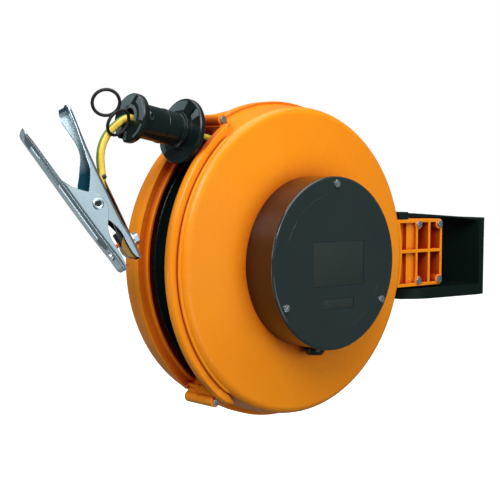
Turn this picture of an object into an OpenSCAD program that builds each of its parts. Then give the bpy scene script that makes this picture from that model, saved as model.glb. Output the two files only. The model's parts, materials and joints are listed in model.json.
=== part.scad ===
// Wall-mounted spring reel with an earthing cable and an earth clamp.
// Millimetres. Origin: middle of the wall bolt pattern, on the wall plane.
// +X into the wall, -X toward the cable mouth, -Y toward the slip-ring cap, +Z up.
// Inside turned(), local x = X, local y = Z and local z = distance toward the cap side.

/* [Housing] */
// Radius of the round body
housing_r = 170; // [168:1:174]
// Depth of the body between its two flat faces
housing_depth = 118; // [112:1:124]
// How far the edge of each flat face lies inside the body radius
edge_in = 14.5; // [13:0.5:18]
// Radius of the rounding outside that edge
edge_round = 9.5; // [7:0.5:11]
// How far each face slopes back between the cap and its edge
face_drop = 8; // [5:0.5:10]
// Wall thickness of the shells
wall = 3.5; // [2.5:0.1:4]
// How far the parting rim stands out of the body
rim_out = 2; // [1:0.1:3]
// Width of the parting rim of each shell
rim_w = 6; // [4:0.5:8]
// Offset of the parting plane toward the cap side
seam_offset = 6; // [4:0.5:9]
// Distance from the wall plane to the middle of the body
wall_gap = 314; // [314:1:330]
// Height of the body's middle above the middle of the bolts
body_rise = 7; // [5:0.5:7]

/* [Cable mouth] */
// Width of the mouth along the reel's axis
mouth_w = 42; // [40:0.5:43]
// Offset of the mouth's middle toward the cap side
mouth_offset = 11; // [10:0.5:12]
// Gap between the cable and the mouth's upper edge
mouth_gap = 0.8; // [0.6:0.1:3]
// Angle of the screw boss at the mouth's lower end, measured from the wall side
mouth_low_angle = 126.5; // [123:0.5:128]
// How far the raised lip on the cap side stands out of the body
lip_out = 4; // [2:0.5:6]
// Width of the raised lip
lip_w = 9; // [6:0.5:10]
// Depth of the recess along the far side of the mouth
recess_depth = 7; // [5:0.5:8]
// Width of that recess
recess_w = 6; // [4:0.5:8]
// Radius of the screw boss at each end of the mouth
boss_r = 6; // [5.5:0.5:7]
// How far the boss centre lies outside the body radius
boss_reach = 7; // [6:0.5:8]
// Length of each screw boss
boss_len = 44; // [40:1:46]

/* [Arm and swivel] */
// Height of the arm
arm_h = 80; // [76:1:80]
// Width of the arm across both halves
arm_w = 90; // [84:1:96]
// Reach of the arm's end from the middle of the body
arm_reach = 245; // [243:1:248]
// Distance of the swivel pin from the arm's end
pin_back = 22; // [20:1:24]
// Radius of the swivel pin
pin_r = 5; // [4:0.1:5]
// Radius of the swivel bush bores' seats in the arm
bush_r = 7; // [6.6:0.1:8]
// Length of each swivel bush
bush_len = 14; // [10:1:18]
// Thickness of the lower bush flange
bush_flange_low = 2.5; // [1.5:0.1:3]
// Thickness of the upper bush flange
bush_flange_top = 0.9; // [0.7:0.1:1.4]
// Thickness of the arm's ribs and outer walls
rib_t = 4; // [3:0.5:5]
// Spacing of the arm screws along the arm
arm_screw_dx = 39; // [36:1:40]
// Spacing of the arm screws in height
arm_screw_dz = 67.4; // [64:0.2:68]
// Radius of the arm screws' bosses
arm_boss_r = 6; // [5:0.5:6.5]
// Length of the stop block on top of the arm
stop_block_l = 16; // [12:1:18]
// Height of the stop block
stop_block_h = 9; // [6:0.5:10]

/* [Wall bracket] */
// Width of the back plate
plate_w = 114; // [108:1:120]
// Height of the back plate
plate_h = 96.5; // [94:0.5:97.5]
// Thickness of the back plate
plate_t = 11; // [10:0.5:14]
// Thickness of the bottom shelf
shelf_t = 13; // [10:0.5:13]
// Radius of the shelf's round nose about the swivel pin
nose_r = 50; // [44:1:52]
// Width of the top strap at the swivel pin
strap_w = 36; // [28:1:40]
// Thickness of the top strap at the pin
strap_t = 5; // [4.5:0.5:6]
// Spacing of the wall bolts across the plate
bolt_dy = 84; // [76:1:90]
// Spacing of the wall bolts in height
bolt_dz = 66; // [56:1:70]
// Radius of the threaded bore for each wall bolt
bolt_r = 4; // [3:0.1:4]
// Outer radius of each threaded insert
insert_r = 6; // [5.5:0.1:7]
// Depth of each threaded insert
insert_len = 9; // [6:0.5:9]

/* [Axle and drum] */
// Radius of the fixed axle
axle_r = 10; // [8:0.5:11]
// Radius of the axle's shoulder inside the far shell
shoulder_r = 22; // [18:1:26]
// Outer radius of the drum's hub tube
hub_r = 22; // [20:0.5:24]
// Inner radius of the hub tube, where the bushes sit
hub_bore = 16; // [14:0.5:17]
// Running clearance of the drum bushes on the axle
running_gap = 0.05; // [0.03:0.01:0.1]
// Radius of the drum barrel
barrel_r = 62; // [50:1:70]
// Gap between the drum flanges and the shells
flange_gap = 12.5; // [10:0.5:16]
// Thickness of the drum flanges
flange_t = 3; // [2:0.5:4]
// Outer radius of the ratchet ring
ratchet_r = 56; // [50:1:58]
// Number of ratchet teeth
ratchet_teeth = 24; // [16:1:30]
// Inner radius of the spring case
case_r = 96; // [90:1:100]
// Depth of the spring case
case_depth = 32; // [28:1:34]
// Number of turns of the mainspring
spring_turns = 8; // [5:1:9]
// Thickness of the mainspring strip
spring_t = 1; // [0.8:0.1:1.5]

/* [Slip-ring cap] */
// Radius of the cap
cap_r = 91; // [88:1:94]
// Height of the cap above the shell face
cap_h = 40; // [38:1:44]
// Wall thickness of the cap
cap_wall = 3; // [2.5:0.1:4]
// Radius of the circle that the cap screws lie on
cap_screw_pcr = 83.2; // [82:0.2:83.4]
// Thickness of the cap's seal
seal_t = 1.5; // [1:0.1:2]
// Width of the bare recessed panel on the cap
panel_w = 77; // [60:1:84]
// Height of that panel
panel_h = 47; // [36:1:50]
// Offset of the panel's middle toward the wall
panel_x = 4.5; // [0:0.5:8]
// Depth of the panel
panel_depth = 0.5; // [0.3:0.1:1]
// Width of the bare strip below the panel
strip_w = 46.5; // [30:0.5:60]
// Height of that strip
strip_h = 11; // [6:0.5:14]
// Gap between the panel and the strip
strip_gap = 13; // [8:0.5:14]
// Outer radius of the slip ring
slip_ring_r = 28; // [27:0.5:30]
// Radius of the nut on the supply gland
gland_nut_r = 11.5; // [10:0.5:12]
// Offset of the supply gland from the cap's middle, toward the wall
gland_x = -3; // [-8:1:8]
// Radius of the cable bore through the supply gland
gland_bore = 4.5; // [3:0.1:5]

/* [Cable and stop] */
// Diameter of the earthing cable
cable_d = 8; // [7.6:0.1:8]
// Radius of the outer layer's centre line on the drum
wind_r = 110; // [109:0.5:111]
// Step from turn to turn and from layer to layer
wind_pitch = 8.5; // [8.45:0.05:8.6]
// Angle at which the cable rises out of the mouth
cable_rise = 9.8; // [9.5:0.1:10.1]
// Radius of the stop's rear flange
stop_rear_r = 33.5; // [32:0.5:35]
// Thickness of the rear flange
stop_rear_t = 7; // [5:0.5:9]
// Radius of the stop's neck
stop_neck_r = 17; // [15:0.5:18]
// Radius of the stop's front flange
stop_front_r = 24.5; // [23:0.5:26]
// Thickness of the front flange
stop_front_t = 8; // [6:0.5:9]
// Length of the whole stop
stop_len = 71; // [66:1:74]
// Depth of the cable recess in the stop's front face
stop_recess = 9; // [6:0.5:9]
// Tilt of the plane that splits the stop
stop_tilt = 24; // [0:1:40]
// Radius of the rubber loops' centre lines
loop_r = 12.9; // [12:0.1:13.4]
// Radius of the loops' rubber cord
loop_tube_r = 1.6; // [1.3:0.1:1.7]

/* [Earth clamp] */
// Inside width between the upper lever's side plates
lever_w = 20.4; // [19:0.2:22]
// Sheet thickness of the clamp levers
sheet = 1.5; // [1.2:0.1:1.8]
// Outer radius of the tubular pivot rivet
pivot_r = 4; // [3.5:0.1:4.5]
// Radius of the brass contact's round face
contact_r = 12; // [11:0.5:12.5]

/* [Hidden] */
$fn = 96;
fit = 0.05;      // clearance of a seated or screwed joint
seat = 0.3;      // clearance between pieces that rest against each other

// Stations along the reel's axis, counted toward the cap side
face_s = housing_depth / 2;
inner_s = face_s - wall;
edge_r = housing_r - edge_in;
edge_s = face_s - face_drop;
draft = edge_in - edge_round;      // how far the side wall leans in on its way to the rounding
round_s = edge_s - edge_round;     // where the rounding begins
function wall_r(s) = housing_r - wall - draft * s / round_s;
mouth_low = mouth_offset - mouth_w / 2;
mouth_high = mouth_offset + mouth_w / 2;
cap_s = face_s + seal_t;
cap_front = face_s + cap_h;
flange_r = housing_r - wall - flange_gap;
flange_near_s = mouth_high;
flange_far_s = mouth_low - flange_t;
case_s = flange_far_s - case_depth;
shoulder_t = 4;
shoulder_s = -inner_s;
hub_end = inner_s + 6.5;

// The swivel pin, by its distance and heights from the reel's middle
pin_reach = arm_reach - pin_back;
arm_mid = 0.8;
arm_top = arm_mid + arm_h / 2;
arm_low = arm_mid - arm_h / 2;
shelf_top = arm_low - bush_flange_low - seat;
strap_low = arm_top + bush_flange_top + seat;
plate_low = shelf_top - shelf_t;
plate_top = plate_low + plate_h;
plate_x = wall_gap - plate_t;
strap_top = strap_low + strap_t;
arm_screw_x = pin_reach - 3.5;
arm_core_s = 12;      // half width of the arm's solid middle

// Screws that hold the two shells together
arm_screw_r = 2.1;
arm_head_r = 4.4;
shell_screw_r = 2;
shell_head_r = 3.8;
screw_end = 5;        // solid left beyond a screw's tip
cap_screw_r = 1.9;
cap_head_r = 3.8;
case_screw_r = 1.9;
case_head_r = 3.4;
case_head_h = 2.2;
CAP_SCREW_ANGLES = [90, 210, 330];

// The cable leaves the drum at its tangent point and passes through the stop
tangent_x = wind_r * sin(cable_rise);
tangent_z = wind_r * cos(cable_rise);
lip_r = housing_r + lip_out;
stop_dip = wind_r - sqrt(stop_rear_r * stop_rear_r - mouth_w * mouth_w / 4);
stop_rear_d = sqrt((lip_r + seat) * (lip_r + seat) - stop_dip * stop_dip);
stop_front_d = stop_rear_d + stop_len;
cable_r = cable_d / 2;

// The mouth's upper edge lies just above the cable
boss_half = 2.6;      // angle from a boss's middle to the mouth's edge beside it
lip_more = -0.6;      // angle at which the raised lip stops short of a boss's middle
mouth_top_angle = 90 - cable_rise - boss_half
    + acos((wind_r + cable_r + mouth_gap) / wall_r(mouth_offset + cable_r));

// Earth clamp: pivot point and the turns that set its hanging pose
clamp_at = [-239.7, -10.6, 61];
clamp_yaw = -42;
clamp_dip = 58.5;
clamp_roll = -18;

// Route of the free cord from the stop to the clamp's lug, in the reel's frame
CORD = [
    [-195, -11, 145.3], [-202, -11, 145.9], [-208.5, -11, 144], [-214.5, -11, 140.3],
    [-220.5, -11, 135.8], [-226.5, -11, 130], [-231.5, -11, 122.5], [-234.5, -11, 114],
    [-234.8, -10.4, 104.3], [-232.8, -10, 95.2], [-230.2, -11, 87], [-228.7, -12.7, 78.8],
    [-228.8, -14.3, 69.8], [-227.7, -16.6, 60.7], [-225.4, -19.1, 53.4], [-223.5, -21.1, 47.9]
];
CORD_END = [0.296, -0.313, -0.903];
// The straight run ends where the free cord begins
cord_start_d = norm(CORD[0] - [tangent_x, -mouth_offset, tangent_z]);

module at_reel() translate([-wall_gap, 0, body_rise]) children();
module turned() at_reel() rotate([90, 0, 0]) children();
module along_cable(d)
    at_reel() translate([tangent_x, -mouth_offset, tangent_z])
        rotate([0, cable_rise - 90, 0]) translate([0, 0, d]) children();
module at_clamp()
    at_reel() translate(clamp_at)
        rotate([0, 0, clamp_yaw]) rotate([0, clamp_dip, 0]) rotate([clamp_roll, 0, 0]) children();

// Ring between two radii
module ring(r_in, r_out, h)
    difference() {
        cylinder(r = r_out, h = h);
        translate([0, 0, -1]) cylinder(r = r_in, h = h + 2);
    }

// Wedge about the mouth, widened past both screw bosses by an angle
module mouth_wedge(r, more) {
    half = 180 - (mouth_top_angle + mouth_low_angle) / 2 + more;
    rotate((mouth_top_angle - mouth_low_angle) / 2)
        polygon([[0, 0], for (a = [-1, -0.5, 0, 0.5, 1]) 2 * r * [-cos(a * half), sin(a * half)]]);
}

// Quarter section of a shell, shrunk by t: flat face, sloping band, rounded edge, leaning wall
module shell_section(t) {
    polygon([[0, 0], [housing_r - t, 0], [edge_r + edge_round - t, round_s], [edge_r, edge_s - t],
        [cap_r + 1, face_s - t], [0, face_s - t]]);
    intersection() {
        translate([edge_r, round_s]) circle(edge_round - t);
        translate([edge_r, round_s]) square(edge_round);
    }
}

// Slotted or cross-slotted screw: head, shank, drive slots
module screw(head_r, head_h, shank_r, length, cross) {
    difference() {
        union() {
            cylinder(r = head_r, h = head_h);
            translate([0, 0, -length]) cylinder(r = shank_r, h = length);
        }
        translate([-head_r, -head_r / 8, head_h * 0.5]) cube([2 * head_r, head_r / 4, head_h]);
        if (cross)
            translate([-head_r / 8, -head_r, head_h * 0.5]) cube([head_r / 4, 2 * head_r, head_h]);
    }
}

module nut(r, h, bore)
    difference() {
        cylinder(r = r, h = h, $fn = 6);
        translate([0, 0, -1]) cylinder(r = bore, h = h + 2);
    }

// Tube swept along points; the side count is set by the caller
function unit(v) = v / norm(v);
function tangent_at(p, i) =
    unit(p[min(i + 1, len(p) - 1)] - p[max(i - 1, 0)]);
function side_axis(t, up) = unit(cross(t, up));
module tube(points, r, sides, up, first = undef, last = undef) {
    n = len(points);
    tangents = [for (i = [0:n - 1])
        i == 0 && !is_undef(first) ? first : i == n - 1 && !is_undef(last) ? last : tangent_at(points, i)];
    rings = [for (i = [0:n - 1])
        let (a = side_axis(tangents[i], up), b = cross(tangents[i], a))
        for (k = [0:sides - 1]) points[i] + r * (cos(360 * k / sides) * a + sin(360 * k / sides) * b)];
    walls = [for (i = [0:n - 2], k = [0:sides - 1])
        let (k2 = (k + 1) % sides, p = i * sides)
        each [[p + k, p + k2, p + sides + k], [p + k2, p + sides + k2, p + sides + k]]];
    start_cap = [for (k = [1:sides - 2]) [0, k + 1, k]];
    end_cap = [for (k = [1:sides - 2]) [(n - 1) * sides, (n - 1) * sides + k, (n - 1) * sides + k + 1]];
    polyhedron(points = rings, faces = concat(walls, start_cap, end_cap));
}

// ---- Winding: a lower layer out to the far flange, then the outer layer back
lower_turns = 4;
upper_turns = 2;
all_turns = lower_turns + upper_turns;
rings_per_turn = 24;
wind_far_s = mouth_offset - upper_turns * wind_pitch;
function wind_s(t) = wind_far_s + wind_pitch * abs(t - lower_turns);
function wind_blend(t) = min(1, max(0, (t - lower_turns) * 2 + 0.5));
function wind_radius(t) = wind_r - wind_pitch * (1 - wind_blend(t));
function wind_angle(t) = 90 - cable_rise + 360 * (t - all_turns);
function wind_point(t) =
    [wind_radius(t) * cos(wind_angle(t)), wind_radius(t) * sin(wind_angle(t)), wind_s(t)];
function wind_tangent(t) = [-sin(wind_angle(t)), cos(wind_angle(t)), 0];
wind_steps = all_turns * rings_per_turn;
wind_lead = cable_d;
WINDING = concat(
    [wind_point(0) - wind_lead * wind_tangent(0)],
    [for (i = [0:wind_steps]) wind_point(i / rings_per_turn)],
    [wind_point(all_turns) + wind_lead * wind_tangent(all_turns)]);
// Least distance between points of the tube more than half a turn apart, less one diameter
wind_gap = min([for (i = [0:wind_steps + 2], j = [0:wind_steps + 2])
    if (j > i + rings_per_turn / 2) norm(WINDING[i] - WINDING[j])]) - cable_d;
echo(wind_gap = wind_gap);
core_r = (wind_r - wind_pitch) * cos(180 / rings_per_turn) - cable_r - 0.4;

// ============================ Wall bracket ============================
plate_corner = 2;
module bracket_plate() {
    corner = plate_corner;
    translate([plate_x, -plate_w / 2 + corner, plate_low]) cube([plate_t, plate_w - 2 * corner, plate_h]);
    translate([plate_x, -plate_w / 2, plate_low + corner]) cube([plate_t, plate_w, plate_h - 2 * corner]);
    for (y = [-1, 1], z = [plate_low + corner, plate_top - corner])
        translate([plate_x, y * (plate_w / 2 - corner), z])
            rotate([0, 90, 0]) cylinder(r = corner, h = plate_t);
}

module bracket_shelf() {
    translate([0, 0, plate_low]) linear_extrude(shelf_t) {
        polygon([[plate_x + 1, plate_w / 2], [pin_reach, nose_r], [pin_reach, -nose_r],
            [plate_x + 1, -plate_w / 2]]);
        translate([pin_reach, 0]) circle(nose_r);
    }
}

// Top strap: narrow and round at the pin, almost as wide as the plate at the wall
swing_r = 53;         // room for the corners of the arm's end as the reel swings
module bracket_strap() intersection() {
    wall_half = plate_w / 2 - plate_corner - 1;
    translate([0, 0, plate_top - 10]) linear_extrude(strap_top - plate_top + 12) {
        polygon([[plate_x + 1, wall_half], [pin_reach, strap_w / 2], [pin_reach, -strap_w / 2],
            [plate_x + 1, -wall_half]]);
        translate([pin_reach, 0]) circle(strap_w / 2);
    }
    translate([0, plate_w / 2, 0]) rotate([90, 0, 0]) linear_extrude(plate_w)
        polygon([[pin_reach - strap_w, strap_low], [pin_reach + bush_r + 3, strap_low],
            [pin_reach + swing_r, arm_top + 0.5], [plate_x + 1, plate_top - 4],
            [plate_x + 1, plate_top - 0.4], [pin_reach, strap_top], [pin_reach - strap_w, strap_top]]);
}

module wall_bracket() color([0.05, 0.08, 0.08]) at_reel() difference() {
    union() {
        bracket_plate();
        bracket_shelf();
        bracket_strap();
    }
    translate([pin_reach, 0, plate_low - 1]) cylinder(r = pin_r + fit, h = plate_h + 20);
    translate([pin_reach, 0, strap_top - pin_head_t]) cylinder(r = pin_head_r + seat, h = pin_head_t + 1);
    for (y = [-1, 1], z = [-1, 1])
        translate([wall_gap - insert_len, y * bolt_dy / 2, z * bolt_dz / 2 - body_rise])
            rotate([0, 90, 0]) cylinder(r = insert_r, h = insert_len + 1);
}

module wall_inserts() color("goldenrod")
    for (y = [-1, 1], z = [-1, 1])
        translate([-insert_len, y * bolt_dy / 2, z * bolt_dz / 2])
            rotate([0, 90, 0]) ring(bolt_r, insert_r, insert_len);

pin_head_t = 2.5;
pin_head_r = pin_r + 3.5;
pin_low = plate_low - 5;
module swivel_pin() color("silver") at_reel() translate([pin_reach, 0, 0]) difference() {
    union() {
        translate([0, 0, pin_low]) cylinder(r = pin_r, h = strap_top - 1 - pin_low);
        translate([0, 0, strap_top - pin_head_t]) cylinder(r = pin_head_r, h = pin_head_t);
    }
    translate([0, 0, plate_low - 2.5]) ring(pin_r - 1, pin_r + 2, 1.2);
}

module swivel_pin_clip() color("dimgray") at_reel()
    translate([pin_reach, 0, plate_low - 2.45]) difference() {
        ring(pin_r - 0.95, pin_r + 4, 1.1);
        translate([0, -2, -1]) cube([pin_r + 6, 4, 4]);
    }

// ============================ Shells and arm ============================
// One pocketed half of the arm, from the parting plane out to its face
module arm_outline(grow) {
    corner = 5;
    x0 = housing_r - 20;
    translate([x0, arm_low - grow]) square([arm_reach - x0 - corner, arm_h + 2 * grow]);
    translate([x0, arm_low + corner]) square([arm_reach - x0, arm_h - 2 * corner]);
    for (y = [arm_low + corner, arm_top - corner])
        translate([arm_reach - corner, y]) circle(corner);
}

module arm_pocket(x0, x1, y0, y1, floor_s, face) {
    translate([x0, y0, floor_s]) cube([x1 - x0, y1 - y0, face - floor_s + 1]);
}

module arm_pockets(face) {
    mid = arm_mid + 2.2;
    rib_shift = 2.8;      // the first rib stands nearer the body than its screws
    step_l = 14;          // length of the shallow end of the bay beside the body
    bay_end = arm_screw_x - arm_screw_dx / 2 - rib_t / 2 - rib_shift;
    step_x = bay_end - step_l;
    rib_x = arm_screw_x + 1;
    rows = [[arm_low + rib_t, mid - rib_t / 2], [mid + rib_t / 2, arm_top - rib_t]];
    for (row = rows) {
        difference() {
            arm_pocket(housing_r - 10, step_x + 1, row[0], row[1], face - 9, face);
            cylinder(r = housing_r, h = 2 * face);
        }
        arm_pocket(step_x, bay_end, row[0], row[1], face - 4, face);
        arm_pocket(bay_end + rib_t, rib_x - rib_t / 2, row[0], row[1], arm_core_s, face);
        arm_pocket(rib_x + rib_t / 2, arm_reach - rib_t, row[0], row[1], arm_core_s, face);
    }
}

module arm_screw_places()
    for (x = [-1, 1], y = [-1, 1])
        translate([arm_screw_x + x * arm_screw_dx / 2, arm_mid + y * arm_screw_dz / 2, 0]) children();

module arm_half(seam, face) {
    difference() {
        translate([0, 0, seam]) linear_extrude(face - seam) arm_outline(0);
        arm_pockets(face);
    }
    intersection() {
        translate([0, 0, seam]) linear_extrude(face - seam) arm_outline(0);
        arm_screw_places() cylinder(r = arm_boss_r, h = face);
    }
}

// Bores of the swivel bushes and the pin through the arm, vertical on the real object
module arm_pin_bore()
    translate([pin_reach, 0, 0]) rotate([-90, 0, 0]) {
        translate([0, 0, arm_low - 1]) cylinder(r = pin_r + 0.6, h = arm_h + 2);
        translate([0, 0, arm_low - 1]) cylinder(r = bush_r, h = bush_len + 1);
        translate([0, 0, arm_top - bush_len]) cylinder(r = bush_r, h = bush_len + 1);
    }

module boss_places()
    for (a = [mouth_top_angle, -mouth_low_angle])
        rotate([0, 0, a]) translate([housing_r + boss_reach, 0, 0]) children();

boss_face_s = mouth_high - 2;
boss_low_s = boss_face_s - boss_len;
neck_in = boss_reach + draft + wall / 2;      // from a boss's middle into the leaning wall
module mouth_boss(s0, s1)
    boss_places() translate([0, 0, s0]) {
        cylinder(r = boss_r, h = s1 - s0);
        translate([-neck_in, 1 - boss_r, 0]) cube([neck_in, 2 * boss_r - 2, s1 - s0]);
    }

end_wall_t = 3;
end_wall_r = flange_r + 3;
module mouth_end_wall(s0, s1)
    rotate([0, 0, -mouth_low_angle]) translate([end_wall_r, 1 - boss_r, s0])
        cube([edge_r + edge_round - end_wall_r, end_wall_t, s1 - s0]);

cap_boss_h = 10;
module cap_screw_places(s)
    for (a = CAP_SCREW_ANGLES) rotate([0, 0, a]) translate([cap_screw_pcr, 0, s]) children();

// Everything on the far side of the parting plane, or on the near side when up is true
module beyond_seam(up)
    translate([0, 0, up ? seam_offset : seam_offset - 2 * housing_r])
        cylinder(r = 2 * housing_r, h = 2 * housing_r);

module near_shell() color([0.95, 0.55, 0.13]) turned() difference() {
    union() {
        difference() {
            union() {
                rotate_extrude() shell_section(0);
                translate([0, 0, seam_offset - rim_w]) cylinder(r = housing_r + rim_out, h = 2 * rim_w);
                linear_extrude(mouth_high + lip_w) intersection() {
                    circle(lip_r);
                    mouth_wedge(housing_r, lip_more);
                }
                arm_half(0, arm_w / 2);
            }
            rotate_extrude() shell_section(wall);
        }
        mouth_boss(0, boss_face_s);
        mouth_end_wall(0, mouth_high);
        cap_screw_places(inner_s - cap_boss_h) cylinder(r = 6, h = cap_boss_h + wall / 2);
        rotate([0, 0, pawl_angle]) translate([pawl_pin_pcr, 0, pawl_s + pawl_t + seat])
            cylinder(r = pawl_pin_r + 4, h = inner_s + wall / 2 - pawl_s - pawl_t - seat);
    }
    beyond_seam(false);
    translate([0, 0, -1]) linear_extrude(mouth_high + 1) mouth_wedge(housing_r, -boss_half);
    translate([0, 0, inner_s - 1]) cylinder(r = hub_r + 4, h = wall + 2);
    rotate([0, 0, pawl_angle]) translate([pawl_pin_pcr, 0, pawl_s])
        cylinder(r = pawl_pin_r, h = inner_s - pawl_s);
    cap_screw_places(inner_s - cap_boss_h + 2) cylinder(r = cap_screw_r + fit, h = cap_boss_h + wall);
    boss_places() cylinder(r = shell_screw_r + 0.4, h = boss_face_s + 1);
    boss_places() translate([0, 0, boss_face_s]) cylinder(r = shell_head_r + seat, h = boss_len);
    arm_screw_places() cylinder(r = arm_screw_r + 0.4, h = arm_w);
    arm_pin_bore();
}

far_lip_w = 7;
far_lip_out = 1;
module far_shell() color([0.94, 0.53, 0.12]) turned() difference() {
    recess_r = housing_r - recess_depth;
    union() {
        difference() {
            union() {
                mirror([0, 0, 1]) rotate_extrude() shell_section(0);
                cylinder(r = housing_r, h = 2 * seam_offset);
                translate([0, 0, seam_offset - rim_w]) cylinder(r = housing_r + rim_out, h = 2 * rim_w);
                mirror([0, 0, 1]) arm_half(-2 * seam_offset, arm_w / 2);
                translate([0, 0, mouth_low - recess_w - far_lip_w]) linear_extrude(far_lip_w + 1)
                    intersection() {
                        circle(housing_r + far_lip_out);
                        mouth_wedge(housing_r, lip_more);
                    }
            }
            mirror([0, 0, 1]) rotate_extrude() shell_section(wall);
            translate([0, 0, -1]) cylinder(r = housing_r - wall, h = 2 * seam_offset + 2);
            translate([0, 0, mouth_low - recess_w]) linear_extrude(mouth_w)
                mouth_wedge(housing_r, -boss_half);
        }
        mouth_boss(boss_low_s, 2 * seam_offset);
        mouth_end_wall(mouth_low - recess_w - 1, 2 * seam_offset);
        translate([0, 0, mouth_low - recess_w - wall]) linear_extrude(recess_w + wall) intersection() {
            difference() {
                circle(recess_r);
                circle(recess_r - 3);
            }
            mouth_wedge(housing_r, 1 - boss_half);
        }
        translate([0, 0, mouth_low - recess_w - wall]) linear_extrude(wall) intersection() {
            difference() {
                circle(housing_r - wall);
                circle(recess_r - 2);
            }
            mouth_wedge(housing_r, 1 - boss_half);
        }
    }
    beyond_seam(true);
    translate([0, 0, -face_s - 1]) cylinder(r = axle_r + fit, h = wall + 2);
    translate([0, 0, boss_low_s + screw_end]) boss_places() cylinder(r = shell_screw_r + fit, h = boss_len);
    translate([0, 0, screw_end - arm_w / 2]) arm_screw_places() cylinder(r = arm_screw_r + fit, h = arm_w);
    arm_pin_bore();
}

module swivel_bushes() color("ivory") at_reel() translate([pin_reach, 0, 0]) {
    translate([0, 0, arm_low]) ring(pin_r + running_gap, bush_r, bush_len);
    translate([0, 0, arm_low - bush_flange_low]) ring(pin_r + running_gap, bush_r + 2, bush_flange_low);
    translate([0, 0, arm_top - bush_len]) ring(pin_r + running_gap, bush_r, bush_len);
    translate([0, 0, arm_top]) ring(pin_r + running_gap, bush_r + 2, bush_flange_top);
}

module arm_stop_block() color([0.07, 0.1, 0.1]) at_reel()
    translate([housing_r - 4, -arm_w / 2 + 1, arm_top]) cube([stop_block_l, 30, stop_block_h]);

module arm_screws() color("lightsteelblue") turned() translate([0, 0, arm_w / 2])
    arm_screw_places() screw(arm_head_r, 2.2, arm_screw_r, arm_w - 2 * screw_end, true);

module shell_screws() color("silver") turned() translate([0, 0, boss_face_s])
    boss_places() rotate([0, 0, 60]) screw(shell_head_r, 2, shell_screw_r, boss_len - 2 * screw_end, false);

// ============================ Axle ============================
nut_h = 8;
module axle() color("silver") turned() {
    translate([0, 0, -face_s - 12]) cylinder(r = axle_r, h = face_s + 12 + cap_front - 8);
    translate([0, 0, shoulder_s]) cylinder(r = shoulder_r, h = shoulder_t);
}

module axle_washer() color("silver") turned()
    translate([0, 0, -face_s - 2]) ring(axle_r + fit, axle_r + 8, 2);

module axle_nut() color("silver") turned()
    translate([0, 0, -face_s - 2 - nut_h]) nut(axle_r + 7, nut_h, axle_r);

arbor_r = axle_r + 7.5;
module spring_arbor() color("gray") turned()
    translate([0, 0, shoulder_s + shoulder_t])
        ring(axle_r, arbor_r, flange_far_s - shoulder_s - shoulder_t - 1);

// ============================ Slip-ring cap ============================
cap_rim = 2.5;
module cap_solid(r, s1, f)
    rotate_extrude() {
        square([r - f, s1]);
        square([r, s1 - f]);
        translate([r - f, s1 - f]) circle(f);
    }

module slipring_cap() color([0.13, 0.17, 0.17]) turned() difference() {
    union() {
        difference() {
            cap_solid(cap_r, cap_front, cap_rim);
            translate([0, 0, -1]) cylinder(r = cap_r - cap_wall, h = cap_front - cap_wall + 1);
        }
        cap_screw_places(cap_s - 2) cylinder(r = 6, h = cap_front - cap_wall / 2 - cap_s + 2);
        translate([0, 0, cap_front - 14]) cylinder(r = axle_r + 5, h = 13);
    }
    translate([0, 0, -1]) cylinder(r = cap_r + 1, h = cap_s + 1);
    translate([0, 0, cap_front - 15]) cylinder(r = axle_r + fit, h = 7.5);
    cap_screw_places(0) cylinder(r = cap_screw_r + 0.3, h = cap_front + 1);
    translate([panel_x - panel_w / 2, -panel_h / 2, cap_front - panel_depth]) cube([panel_w, panel_h, 2]);
    translate([panel_x - strip_w / 2, -panel_h / 2 - strip_gap - strip_h, cap_front - panel_depth])
        cube([strip_w, strip_h, 2]);
    gland_frame() cylinder(r = gland_r + fit, h = cap_r + 10);
}

module cap_seal() color("black") turned() difference() {
    translate([0, 0, face_s]) ring(cap_r - 12, cap_r - 0.5, seal_t);
    cap_screw_places(0) cylinder(r = cap_screw_r + 0.3, h = cap_front);
}

module cap_screws() color("silver") turned() cap_screw_places(cap_front)
    rotate([0, 0, 25]) screw(cap_head_r, 1.6, cap_screw_r, cap_h + wall + 4, false);

gland_nut_h = 2.5;    // straight part of the nut
gland_cone_h = 3;     // and its tapered end
gland_r = gland_nut_r - 3;
gland_s = cap_s + gland_nut_r;
gland_in = 6;         // how far the gland's collar starts inside the cap's wall
gland_out = gland_nut_h + gland_cone_h + 1.5;
module gland_frame() translate([gland_x, 0, gland_s]) rotate([90, 0, 0]) children();
module supply_gland() color([0.06, 0.08, 0.08]) turned() gland_frame() difference() {
    union() {
        translate([0, 0, cap_r - cap_wall - gland_in])
            cylinder(r = gland_r, h = gland_in + cap_wall + gland_out);
        translate([0, 0, cap_r - cap_wall - gland_in]) cylinder(r = gland_r + 1, h = gland_in - 1.5);
    }
    translate([0, 0, cap_r - cap_wall - gland_in - 1]) cylinder(r = gland_bore, h = 30);
}

module gland_nut() color([0.06, 0.08, 0.08]) turned() gland_frame() translate([0, 0, cap_r + seat])
    difference() {
        union() {
            cylinder(r = gland_nut_r, h = gland_nut_h);
            translate([0, 0, gland_nut_h]) cylinder(r1 = gland_nut_r, r2 = gland_r + 1, h = gland_cone_h);
        }
        translate([0, 0, -1]) cylinder(r = gland_r + fit, h = gland_out + 2);
    }

// Brush gear beside the slip ring, on the shell's face
brush_angle = 200;
brush_h = 11;         // height of the brush's middle above the shell's face
brush_s = face_s + brush_h;
brush_w = 8;          // the brush is square in section
brush_l = 14;
holder_l = 30;
holder_w = 18;
module brush_frame() turned() rotate([0, 0, brush_angle]) translate([0, 0, brush_s]) children();
module brush_holder() color([0.5, 0.3, 0.2]) brush_frame() difference() {
    translate([slip_ring_r + 4, -holder_w / 2, -brush_h]) cube([holder_l, holder_w, 2 * brush_h - 2]);
    translate([slip_ring_r + 3, -brush_w / 2 - 0.1, -brush_w / 2 - 0.1])
        cube([holder_l - 3, brush_w + 0.2, brush_w + 0.2]);
}

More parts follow.
